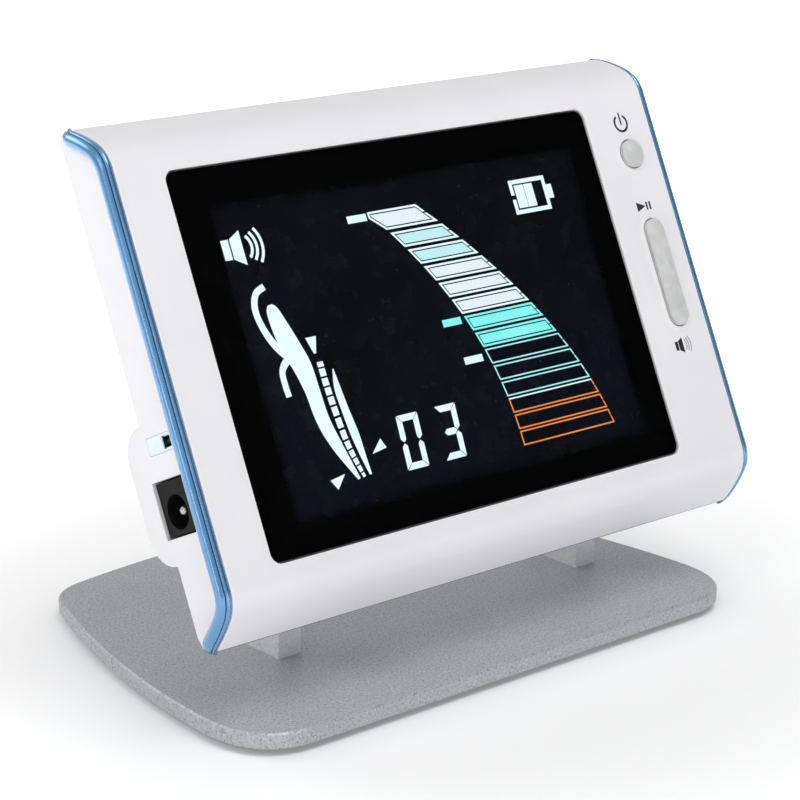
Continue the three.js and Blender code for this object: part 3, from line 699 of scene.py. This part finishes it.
def rear_cover():
    """The CAD shell with rounded edges on its sides, its key end moved out and its lower back tapered."""
    openings = [head_box(name) for name in ("dc_jack", "probe_socket")]
    socket_bottom = openings[1][0].z

    def on_side(*ends):
        return all(abs(p.x) > rear_high.x - SIDE_MARGIN for p in ends)

    def near_opening(*ends):
        margin = Vector((0, OPENING_MARGIN, OPENING_MARGIN))
        grown = [(low - margin, high + margin) for low, high in openings]
        return all(any(low.y < p.y < high.y and low.z < p.z < high.z for low, high in grown) for p in ends)

    def outline_edge(p, q):
        return on_side(p, q) and min(p.y, q.y) > SIDE_START and not near_opening(p, q)

    def jack_edge(p, q):
        return on_side(p, q) and near_opening(p, q) and max(p.z, q.z) < socket_bottom - OPENING_MARGIN

    skin = rounded_copy("rear_cover", [(SIDE_ROUND, 4, outline_edge), (OPENING_ROUND, 3, jack_edge)])
    for v in skin.bm.verts:
        if v.co.x > rear_high.x - KEY_END:
            v.co.x += KEY_SIDE
        if v.co.z < FOOT_LINE and v.co.y > FOOT_START:
            v.co.z += FOOT_TAPER * (v.co.y - FOOT_START)
    put(skin, "rear_cover_shell", [white_plastic], ["rear_cover"])


def lead_socket():
    """The pale lens that closes the lead socket flush with the side, with a slot next to the trim."""
    low, high = head_box("probe_socket")
    middle, half = (low + high) / 2, (high - low) / 2
    ends = (rear_low.x + LENS_SETBACK, low.x - LENS_GAP)
    slot_end = low.y + SLOT_SHARE * (high.y - low.y)
    slot_middle, slot_half = (low.y + slot_end) / 2, (slot_end - low.y) / 2
    shapes = (
        rounded(middle.y, middle.z, half.y + LENS_GROW, half.z + LENS_GROW, LENS_CORNER, steps=3),
        rounded(slot_middle, middle.z, slot_half, half.z - SLOT_CORNER, SLOT_CORNER, steps=3),
    )
    skin = Skin()
    outer, slot = ([skin.ring([(x, y, z) for y, z in shape]) for x in ends] for shape in shapes)
    skin.band(*outer)
    skin.band(*slot)
    for edge, hole in zip(outer, slot):
        skin.plate(edge, [hole], axes=(1, 2))
    put(skin, "lead_socket_lens", [pale_lens])


def battery_door():
    low, high = head_box("battery_door")
    panel = [(DOOR_ROUND, 2, lambda p, q: min(p.y, q.y) > high.y - DOOR_PANEL)]
    skin = rounded_copy("battery_door", panel)
    middle = (low.z + high.z) / 2
    for i in range(RIB_COUNT):
        x = low.x + RIB_START + RIB_STEP * i
        shapes = [(rounded(x, middle, w, RIB_HALF + w, w, steps=4), out) for w, out in RIB_SECTION]
        skin.loft([at_depth(shape, high.y + out) for shape, out in shapes])
    put(skin, "battery_door_panel", [white_plastic], ["battery_door"], "battery_door")


# ---------------- display
lcd_low, lcd_high = head_box("lcd_glass")
SHIFT = (1.7, 0.15)  # the lit area sits this far from the glass's middle, seen square on
LCD_MID = ((lcd_low.x + lcd_high.x) / 2 + SHIFT[0], (lcd_low.z + lcd_high.z) / 2 + SHIFT[1])
LIT_HALF = (45.6, 29.9)
GLOW_EDGE = 1.2  # how softly the lit area ends
VIEW_MARGIN = 0.6  # the window's clear part is larger than the lit area by this
VIEW_SHIFT = -0.5  # and sits this far to its side
PANE_SECTION = ((0.1, 0.0), (0.03, 0.03), (0, 0.1))  # how far in, how deep
PANEL_CORNER = 0.5
PANEL_CHAMFER = 0.15
INK = 0.05  # thickness of a display segment
INK_GAP = 0.002


def window_pane():
    skin = Skin()
    shape = (*WINDOW_CENTRE, *WINDOW_HALF, WINDOW_CORNER)
    loops = [at_depth(rounded_grown(shape, -edge), window_low.y + deep) for edge, deep in PANE_SECTION]
    rings = skin.loft(loops, (False, False), look=1)
    skin.cap(rings[0])
    back = skin.ring(at_depth(rounded_grown(shape, 0), window_high.y))
    skin.band(rings[-1], back, look=1)
    half_w, half_h = (half + VIEW_MARGIN for half in LIT_HALF)
    clear = rounded(LCD_MID[0] + VIEW_SHIFT, LCD_MID[1], half_w, half_h, VIEW_MARGIN)
    view = skin.ring(at_depth(clear, window_high.y))
    skin.plate(back, [view], look=1)
    skin.cap(view)
    put(skin, "window_pane", [window_glass, black_print], ["display_window"])


def lcd_panel():
    skin = Skin()
    middle, half = (lcd_low + lcd_high) / 2, (lcd_high - lcd_low) / 2
    shape = (middle.x, middle.z, half.x, half.z, PANEL_CORNER)
    near = [(-PANEL_CHAMFER, lcd_low.y), (0, lcd_low.y + PANEL_CHAMFER)]
    far = [(0, lcd_high.y - PANEL_CHAMFER), (-PANEL_CHAMFER, lcd_high.y)]
    skin.loft([at_depth(rounded_grown(shape, out), y) for out, y in near + far])
    look = display_glass(LCD_MID, LIT_HALF, GLOW_EDGE)
    put(skin, "lcd_panel", [look], ["lcd_glass"])


def smooth_line(points, steps=6):
    """A smooth curve through the points, which may carry a width as a last value (Catmull-Rom)."""
    padded = [points[0]] + list(points) + [points[-1]]
    out = []
    for a, b, c, d in zip(padded, padded[1:], padded[2:], padded[3:]):
        for i in range(steps):
            t = i / steps
            weights = (-t + 2 * t**2 - t**3, 2 - 5 * t**2 + 3 * t**3, t + 4 * t**2 - 3 * t**3, t**3 - t**2)
            out.append(tuple(sum(w * v for w, v in zip(weights, values)) / 2 for values in zip(a, b, c, d)))
    return out + [tuple(points[-1])]


def ribbon(line):
    """Outline of a line of (x, z, width) points."""
    left, right = [], []
    for i, (x, z, width) in enumerate(line):
        before, after = line[max(i - 1, 0)], line[min(i + 1, len(line) - 1)]
        along = Vector((after[0] - before[0], after[1] - before[1])).normalized()
        left.append((x - along.y * width / 2, z + along.x * width / 2))
        right.append((x + along.y * width / 2, z - along.x * width / 2))
    return left + right[::-1]


def arc_line(cx, cz, radius, start, end, width, steps=14):
    turns = [math.radians(start + (end - start) * i / steps) for i in range(steps + 1)]
    return [(cx + radius * math.cos(a), cz + radius * math.sin(a), width) for a in turns]


def shrink(outline, inset):
    """A convex outline moved in by inset."""
    count = len(outline)
    centre = sum((Vector(p) for p in outline), Vector((0, 0))) / count
    lines = []
    for i in range(count):
        p, q = Vector(outline[i]), Vector(outline[(i + 1) % count])
        normal = Vector((p.y - q.y, q.x - p.x)).normalized()
        if normal.dot(centre - p) < 0:
            normal.negate()
        lines.append((p + normal * inset, q - p))
    out = []
    for i in range(count):
        (p, d), (q, e) = lines[i - 1], lines[i]
        t = ((q.x - p.x) * e.y - (q.y - p.y) * e.x) / (d.x * e.y - d.y * e.x)
        out.append(tuple(p + d * t))
    return out


class Picture:
    """Display segments of each colour. Outlines are in millimetres on the front face, as they look from
    the front left, and SHIFT moves them to where they are on the glass."""

    COLORS = {
        "white": ((0.88, 1.0, 1.0), 1.1, (0.75, 0.97, 1.0)),
        "warm_white": ((0.86, 0.95, 1.0), 1.0, (0.90, 0.96, 1.0)),
        "pale_aqua": ((0.55, 0.92, 0.94), 1.0, (0.62, 0.96, 0.97)),
        "thin_aqua": ((0.42, 0.90, 0.93), 1.0, (0.48, 0.95, 0.97)),
        "aqua": ((0.22, 0.90, 0.84), 1.05, (0.27, 1.0, 0.94)),
        "amber": ((0.90, 0.26, 0.05), 1.0, (1.0, 0.31, 0.07)),
    }

    def __init__(self):
        self.skins = {name: Skin() for name in self.COLORS}

    def chip(self, color, outline):
        moved = [(x + SHIFT[0], z + SHIFT[1]) for x, z in outline]
        self.skins[color].chip(moved, lcd_low.y - INK, lcd_low.y - INK_GAP)

    def finish(self):
        for name, skin in self.skins.items():
            color, strength, shade = self.COLORS[name]
            look = lit(f"lit_{name}", color, strength, shade)
            put(skin, f"display_segments_{name}", [look])


def mix(p, q, t):
    return tuple(a + (b - a) * t for a, b in zip(p, q))


BAR_COLORS = [("white", "warm_white"), ("white", "pale_aqua"), ("white", "pale_aqua")]  # outline, fill
BAR_COLORS += [("white", "warm_white")] * 3 + [("aqua", "aqua")] * 2
BAR_COLORS += [("thin_aqua", None)] * 3 + [("amber", None)] * 3
LIT_LINE, DARK_LINE = 0.4, 0.28  # how thick the outline of a lit and of a dark bar is
FILL_GAP = 0.24
RIGHT_SIDE = 1
BREAK = (0.42, 0.5)  # the small break in a bar's right side, as shares of its length
WHITE_SIDE = (11, 0)  # the top side of the first amber bar is white
MARKS = (("white", -17.05, 21.8), ("aqua", -1.15, -1.47), ("white", 1.6, -9.5))
MARK_SIZE = (4.75, 1.45)


def block(x0, x1, z0, z1):
    return [(x0, z0), (x1, z0), (x1, z1), (x0, z1)]


def bar_outline(bar):
    """A bar of the curved depth scale: it is narrower at the top and leans outwards."""
    def left_x(z):
        return 10.45 - 0.00477 * max(z + 27.5, 0) ** 2.15

    def right_x(z):
        rise = z + 27.4
        return 35.6 - 0.2175 * rise - 0.00935 * rise**2

    if bar == 0:  # the top bar is taller, and its upper left corner is cut
        top, bottom = 23.4, 19.4
        cut = [(left_x(top), top - 1.2)]
    else:
        n = bar - 1
        top = 18.7 - 3.88 * n + 0.0225 * n * n
        bottom = top - 3.22 + 0.022 * n
        cut = []
    upper = [(left_x(top), top), (right_x(top), top)]
    return upper + [(right_x(bottom), bottom), (left_x(bottom), bottom)] + cut


def scale_bars(picture):
    for bar, (color, fill) in enumerate(BAR_COLORS):
        outline = bar_outline(bar)
        line = LIT_LINE if fill else DARK_LINE
        inner = shrink(outline, line)
        for i in range(len(outline)):
            j = (i + 1) % len(outline)
            a, b, c, d = outline[i], outline[j], inner[j], inner[i]
            if i == RIGHT_SIDE:
                picture.chip(color, [a, mix(a, b, BREAK[0]), mix(d, c, BREAK[0]), d])
                picture.chip(color, [mix(a, b, BREAK[1]), b, c, mix(d, c, BREAK[1])])
            else:
                picture.chip("white" if (bar, i) == WHITE_SIDE else color, [a, b, c, d])
        if fill:
            picture.chip(fill, shrink(outline, line + FILL_GAP))
    for color, x, z in MARKS:
        picture.chip(color, block(x, x + MARK_SIZE[0], z, z + MARK_SIZE[1]))


DIGITS = {0: "abcdef", 3: "abcdg"}  # the segments of each digit, from the top round to the middle
DIGIT_SIZE = (5.3, 10.6)
DIGIT_THICK = 1.28
DIGIT_GAP = 0.13
DIGIT_SLANT = 0.05


def digit(picture, value, x, z):
    """A seven-segment digit whose lower left corner is at (x, z)."""
    (width, height), t, gap = DIGIT_SIZE, DIGIT_THICK, DIGIT_GAP
    half, slope = height / 2, t + gap * 0.3
    top = [(gap, height), (width - gap, height), (width - slope, height - t), (slope, height - t)]
    upper = [(0, height - gap), (t, height - t - gap), (t, half + t * 0.5),
             (t * 0.55, half + gap), (0, half + t * 0.6)]
    middle = [(t, half), (t * 1.5, half + t / 2), (width - t * 1.2, half + t / 2),
              (width - t * 0.65, half), (width - t * 1.2, half - t / 2), (t * 1.5, half - t / 2)]

    def mirrored(points):
        return [(width - px, pz) for px, pz in points]

    def flipped(points):
        return [(px, height - pz) for px, pz in points]

    shapes = {"a": top, "d": flipped(top), "f": upper, "e": flipped(upper),
              "b": mirrored(upper), "c": mirrored(flipped(upper)), "g": middle}
    for key in DIGITS[value]:
        picture.chip("white", [(x + px + DIGIT_SLANT * pz, z + pz) for px, pz in shapes[key]])


def tooth(picture):
    """A generic picture of a tooth's root cut open, with its canal as a dashed line."""
    wall = [(-40.2, 9.5, 1.0), (-40.0, 8.2, 2.8), (-39.1, 4.2, 4.1), (-38.0, 0.5, 4.5), (-36.8, -3.2, 4.3),
            (-36.1, -8.0, 3.4), (-35.6, -13.5, 3.1), (-34.0, -18.9, 2.5), (-31.1, -25.8, 0.6)]
    gum = [(-40.4, 13.0, 1.3), (-42.6, 12.0, 1.3), (-43.7, 9.6, 1.4), (-43.5, 6.6, 1.4), (-42.2, 3.0, 1.5),
           (-40.3, 0.3, 1.7), (-38.0, -1.6, 2.0)]
    hook = [(-38.3, -0.9, 1.6), (-40.2, -1.6, 1.5), (-41.6, -3.2, 1.3), (-41.8, -5.6, 1.3),
            (-41.65, -8.0, 1.3)]
    sliver = [(-30.1, -4.6, 0.2), (-30.3, -8.3, 1.45), (-29.95, -12.4, 1.7), (-29.3, -17.4, 1.9),
              (-28.75, -22.0, 1.2), (-28.2, -25.5, 0.5)]
    for line in (wall, gum, hook, sliver):
        picture.chip("white", ribbon(smooth_line(line)))
    canal = smooth_line([(-32.65, -2.8, 1.4), (-32.6, -7.1, 1.4), (-32.3, -12.0, 1.4), (-31.7, -18.0, 1.25),
                         (-30.7, -22.5, 1.0), (-29.7, -25.8, 0.6)], 13)
    dash = 5
    for i in range(0, len(canal) - dash, dash):
        picture.chip("white", ribbon(canal[i : i + dash]))
    for outline in (
        [(-34.4, 2.1), (-31.9, 2.1), (-32.9, -1.1), (-33.4, -1.1)],
        [(-23.8, -19.4), (-22.9, -21.35), (-26.5, -21.9)],
        [(-37.7, -24.8), (-34.1, -24.25), (-36.5, -26.8)],
    ):
        picture.chip("white", outline)


def speaker_icon(chips, x, z, size, width):
    """A loudspeaker, whose height over the cone is size. Returns the lines of its sound waves."""
    s = size / 6.7
    chips([(x, z - 1.9 * s), (x + 1.7 * s, z - 1.95 * s), (x + 1.7 * s, z + 1.95 * s), (x, z + 1.9 * s)])
    chips([(x + 2.05 * s, z - 1.95 * s), (x + 4.6 * s, z - 3.35 * s), (x + 4.6 * s, z + 3.35 * s),
           (x + 2.05 * s, z + 1.95 * s)])
    return [arc_line(x + 3.9 * s, z, radius * s, -half, half, width)
            for radius, half in ((2.75, 48), (3.9, 43), (5.2, 39))]


def battery_icon(picture):
    """A battery: its case with a gap on the left, its terminal and two charge blocks."""
    x0, x1, z0, z1, line = 25.6, 35.4, 17.7, 24.8, 0.85
    gap = (20.8, 21.7)
    for sides in (
        (x0, x1, z1 - line, z1), (x0, x1, z0, z0 + line), (x1 - line, x1, z0, z1),
        (x0, x0 + line, z0, gap[0]), (x0, x0 + line, gap[1], z1), (x1, x1 + 1.45, 19.9, 22.8),
        (26.85, 29.3, 18.9, 23.65), (29.45, 31.75, 18.9, 23.65),
    ):
        picture.chip("white", block(*sides))


def display_picture():
    picture = Picture()
    scale_bars(picture)
    digit(picture, 0, -19.35, -26.65)
    digit(picture, 3, -9.7, -26.65)
    tooth(picture)
    for arc in speaker_icon(lambda o: picture.chip("white", o), -47.2, 20.9, 6.7, 0.6):
        picture.chip("white", ribbon(arc))
    battery_icon(picture)
    picture.finish()


# ---------------- keys and their symbols
KEY_PROUD = 0.75
KEY_CROWN = 0.35
KEY_EDGE = 0.45
CROWN_STEPS = 6
CROWN_FLAT = 0.02  # half-width of the flat at the top of a crown
FLANGE_SECTION = ((-0.15, -0.1), (0, 0.05), (0, 0.45), (-0.15, 0.6))  # how far out, depth past the key's back
STEM_SECTION = ((1.2, 3.0), (1.2, 3.8), (1.1, 3.9))  # radius, depth
POWER_BACK, ROCKER_BACK = 2.7, 2.9  # depth of a key's back
POWER_FLANGE = 3.4
ROCKER_FLANGE = (ROCKER_HALF[0] + 0.5, ROCKER_HALF[1] - 1, 2.0)
PRINT = (-0.012, 0.02)  # depth that a printed symbol stands out and sinks in


def crowned_key(skin, centre, half, y_back, flange):
    """A key with a crowned face, a rounded edge and a flange at its back, down to y_back."""
    section = [(0, y_back), (0, KEY_EDGE - KEY_PROUD)]
    section += [(out - KEY_EDGE, deep - KEY_PROUD) for out, deep in reversed(quarter_round(KEY_EDGE))][1:]
    for i in range(1, CROWN_STEPS + 1):
        share = i / CROWN_STEPS
        inset = KEY_EDGE + (half[0] - KEY_EDGE - CROWN_FLAT) * share
        section.append((-inset, -KEY_PROUD - KEY_CROWN * (1 - (1 - share) ** 2)))
    skin.loft([at_depth(rounded(*centre, *half, half[0], out), y) for out, y in section])
    skin.loft([at_depth(rounded(*centre, *flange, out), y_back + y) for out, y in FLANGE_SECTION])


def stem(skin, x, z):
    """The peg on a key's back that pushes its switch."""
    skin.loft([at_depth(rounded(x, z, r, r, r, steps=4), y) for r, y in STEM_SECTION])


def keys():
    skin = Skin()
    crowned_key(skin, POWER_AT, POWER_HALF, POWER_BACK, (POWER_FLANGE,) * 3)
    stem(skin, *POWER_AT)
    put(skin, "power_button_cap", [key_plastic], ["power_button"], "power_button")
    skin = Skin()
    crowned_key(skin, ROCKER_AT, ROCKER_HALF, ROCKER_BACK, ROCKER_FLANGE)
    for name in ("play", "volume"):
        low, high = head_box(f"{name}_switch_plunger")
        stem(skin, POWER_AT[0], (low.z + high.z) / 2)
    put(skin, "rocker_key_cap", [key_plastic], ["rocker_key"], "rocker_key")


def key_symbols():
    """Power above its key, play and pause above the rocker, and a loudspeaker below it."""
    dark, pale = Skin(), Skin()
    x, z = POWER_AT[0] - 0.3, POWER_AT[1] + 6.8
    dark.chip(ribbon(arc_line(x, z, 1.75, 122, 418, 0.5, 30)), *PRINT)
    dark.chip(ribbon([(x, z + 2.3, 0.4), (x, z - 0.4, 0.4)]), *PRINT)
    x, z = ROCKER_AT[0] - 2.6, ROCKER_AT[1] + 14.5
    dark.chip([(x, z + 1.0), (x + 2.5, z), (x, z - 1.0)], *PRINT)
    for bar in (x + 2.65, x + 3.55):
        dark.chip(block(bar, bar + 0.48, z - 0.85, z + 0.85), *PRINT)
    x, z = ROCKER_AT[0] - 3.1, ROCKER_AT[1] - 15.6
    for arc in speaker_icon(lambda outline: dark.chip(outline, *PRINT), x, z, 3.3, 0.28):
        pale.chip(ribbon(arc), *PRINT)
    put(dark, "key_symbols", [symbol_ink])
    put(pale, "key_symbol_waves", [pale_ink])


# ---------------- CAD nodes that stay
def smooth_by_angle():
    """A modifier group that shades a mesh smooth, but for edges that turn more than SHARP."""
    group = bpy.data.node_groups.new("smooth_by_angle", "GeometryNodeTree")
    group.interface.new_socket("Geometry", in_out="INPUT", socket_type="NodeSocketGeometry")
    group.interface.new_socket("Geometry", in_out="OUTPUT", socket_type="NodeSocketGeometry")
    start, end = group.nodes.new("NodeGroupInput"), group.nodes.new("NodeGroupOutput")
    angle = group.nodes.new("GeometryNodeInputMeshEdgeAngle")
    small = group.nodes.new("FunctionNodeCompare")
    small.data_type, small.operation = "FLOAT", "LESS_THAN"
    small.inputs[1].default_value = SHARP
    faces, edges = (group.nodes.new("GeometryNodeSetShadeSmooth") for _ in range(2))
    edges.domain = "EDGE"
    group.links.new(angle.outputs["Unsigned Angle"], small.inputs[0])
    group.links.new(start.outputs[0], faces.inputs["Geometry"])
    group.links.new(faces.outputs[0], edges.inputs["Geometry"])
    group.links.new(small.outputs[0], edges.inputs["Shade Smooth"])
    group.links.new(edges.outputs[0], end.inputs[0])
    return group


SMALL_EDGE = 0.1
EDGE_OF_NODE = {
    "base_plate": 0.22,
    "hinge_bracket_left": 0.25,
    "hinge_bracket_right": 0.25,
    "battery_pack": 0.4,
}


def dress_cad_nodes():
    """Rounds the edges of the CAD nodes that stay, and gives each a material for its slot."""
    group = smooth_by_angle()
    slots = {part["node"]: part["material_slot"] for part in frame["record"]["subparts"]}
    for name, node in cad.items():
        if node.hide_render:
            continue
        node.data.materials.clear()
        look = bright_aluminium if name.startswith("hinge_bracket") else LOOK_OF_SLOT[slots[name]]
        node.data.materials.append(look.material)
        node.modifiers.new("one_skin", "WELD").merge_threshold = WELD * MM
        whole = node.modifiers.new("whole_faces", "DECIMATE")
        whole.decimate_type, whole.angle_limit = "DISSOLVE", FLAT_TURN
        edge = node.modifiers.new("rounded_edges", "BEVEL")
        edge.width, edge.segments = EDGE_OF_NODE.get(name, SMALL_EDGE) * MM, 2
        edge.limit_method, edge.angle_limit = "ANGLE", EDGE_TURN
        node.modifiers.new("shading", "NODES").node_group = group
        node.modifiers.new("even_normals", "WEIGHTED_NORMAL").keep_sharp = True


# ---------------- stage
AZIMUTH = math.radians(-40.89)
ELEVATION = math.radians(16.41)
ROLL = math.radians(0.46)
DISTANCE = 0.5
LENS = 114.8
SENSOR = 36.0
CLIP = (0.05, 20)
AIM = (-0.0055, -0.0149, 0.05)
FLAG_TOWARDS = (0.63, -0.68, 0.38)  # where the dark flag stands
FLAG_EDGE = (0.72, 0.9)  # cosines of the angles from there at which it starts and is full
TENT, FLAG = 0.56, 0.012  # how bright the white tent and its flag are
LIGHTS = (  # name, place, target, size, power
    ("key", (-1.3, -0.3, 1.1), (0, 0, 0.05), 0.9, 2.8),
    ("top", (0.1, -0.6, 1.5), (0, 0, 0.05), 1.0, 9.5),
    ("low_front", (-0.35, -1.4, 0.12), (0, 0, 0.04), 0.7, 3.4),
    ("low_left", (-1.5, -0.4, 0.32), (0, 0, 0.06), 0.3, 0.9),
    ("rear_left", (-0.3, 0.5, 0.42), (-0.05, 0, 0), 0.35, 0.7),
)
FLOOR_HALF = 3
FLOOR_LEVEL = -0.00005
FLOOR_GLOW = (0.1, 0.75, 0.08, 0.3)  # strength near and far from the object, and those two distances


def camera():
    data = bpy.data.cameras.new("camera")
    data.lens, data.sensor_width = LENS, SENSOR
    data.clip_start, data.clip_end = CLIP
    made = add_object("camera", data)
    back = Vector((
        math.sin(AZIMUTH) * math.cos(ELEVATION),
        -math.cos(AZIMUTH) * math.cos(ELEVATION),
        math.sin(ELEVATION),
    ))
    turn = (-back).to_track_quat("-Z", "Y").to_matrix() @ Matrix.Rotation(ROLL, 3, "Z")
    made.matrix_world = Matrix.Translation(Vector(AIM) + back * DISTANCE) @ turn.to_4x4()
    bpy.context.scene.camera = made


def area_light(name, where, target, size, power):
    data = bpy.data.lights.new(name, "AREA")
    data.shape, data.size, data.energy = "DISK", size, power
    place = Vector(where)
    turn = (Vector(target) - place).to_track_quat("-Z", "Y").to_matrix()
    add_object(name, data).matrix_world = Matrix.Translation(place) @ turn.to_4x4()


def studio():
    """A white tent with one dark flag, so that the black window has something dark to reflect.

    The camera itself sees plain white."""
    world = bpy.data.worlds.new("studio")
    bpy.context.scene.world = world
    nodes = Nodes(world)
    nodes.tree.nodes.clear()
    where = nodes.node("TexCoord")
    dot = nodes.node("VectorMath", operation="DOT_PRODUCT")
    dot.inputs[1].default_value = Vector(FLAG_TOWARDS).normalized()
    nodes.link(where.outputs["Generated"], dot.inputs[0])
    tent = nodes.ramp(dot.outputs["Value"], TENT, FLAG, *FLAG_EDGE, interpolation_type="SMOOTHSTEP")
    pick = nodes.node("Mix")
    pick.inputs[3].default_value = 1.0
    nodes.link(nodes.node("LightPath").outputs["Is Camera Ray"], pick.inputs[0])
    nodes.link(tent, pick.inputs[2])
    shade = nodes.node("Background")
    shade.inputs["Color"].default_value = (1, 1, 1, 1)
    nodes.link(pick.outputs[0], shade.inputs["Strength"])
    nodes.link(shade.outputs[0], nodes.node("OutputWorld").inputs[0])
    for light in LIGHTS:
        area_light(*light)


def floor():
    look = Look("floor", (0.93, 0.93, 0.935), 0.6)
    look.tint(look.noise(180, 2), (0.915, 0.915, 0.92))
    look.gloss(look.noise(60, 2), 0.55, 0.65)
    look.bump(look.noise(3, 2), 0.02, 0.2)
    far = look.node("VectorMath", operation="LENGTH")
    look.link(look.spot, far.inputs[0])
    look.set("Emission Color", (1, 1, 1, 1))
    look.link(look.ramp(far.outputs["Value"], *FLOOR_GLOW), look.bsdf.inputs["Emission Strength"])
    skin = Skin()
    square = block(-FLOOR_HALF, FLOOR_HALF, -FLOOR_HALF, FLOOR_HALF)
    skin.cap(skin.ring([(x, y, FLOOR_LEVEL) for x, y in square]))
    mesh = bpy.data.meshes.new("floor")
    skin.bm.to_mesh(mesh)
    mesh.materials.append(look.material)
    add_object("floor", mesh)


front_cover()
screw_bosses()
trim_band()
rear_cover()
lead_socket()
battery_door()
window_pane()
lcd_panel()
display_picture()
keys()
key_symbols()
dress_cad_nodes()
studio()
floor()
camera()
bpy.context.scene.view_settings.view_transform = "Standard"
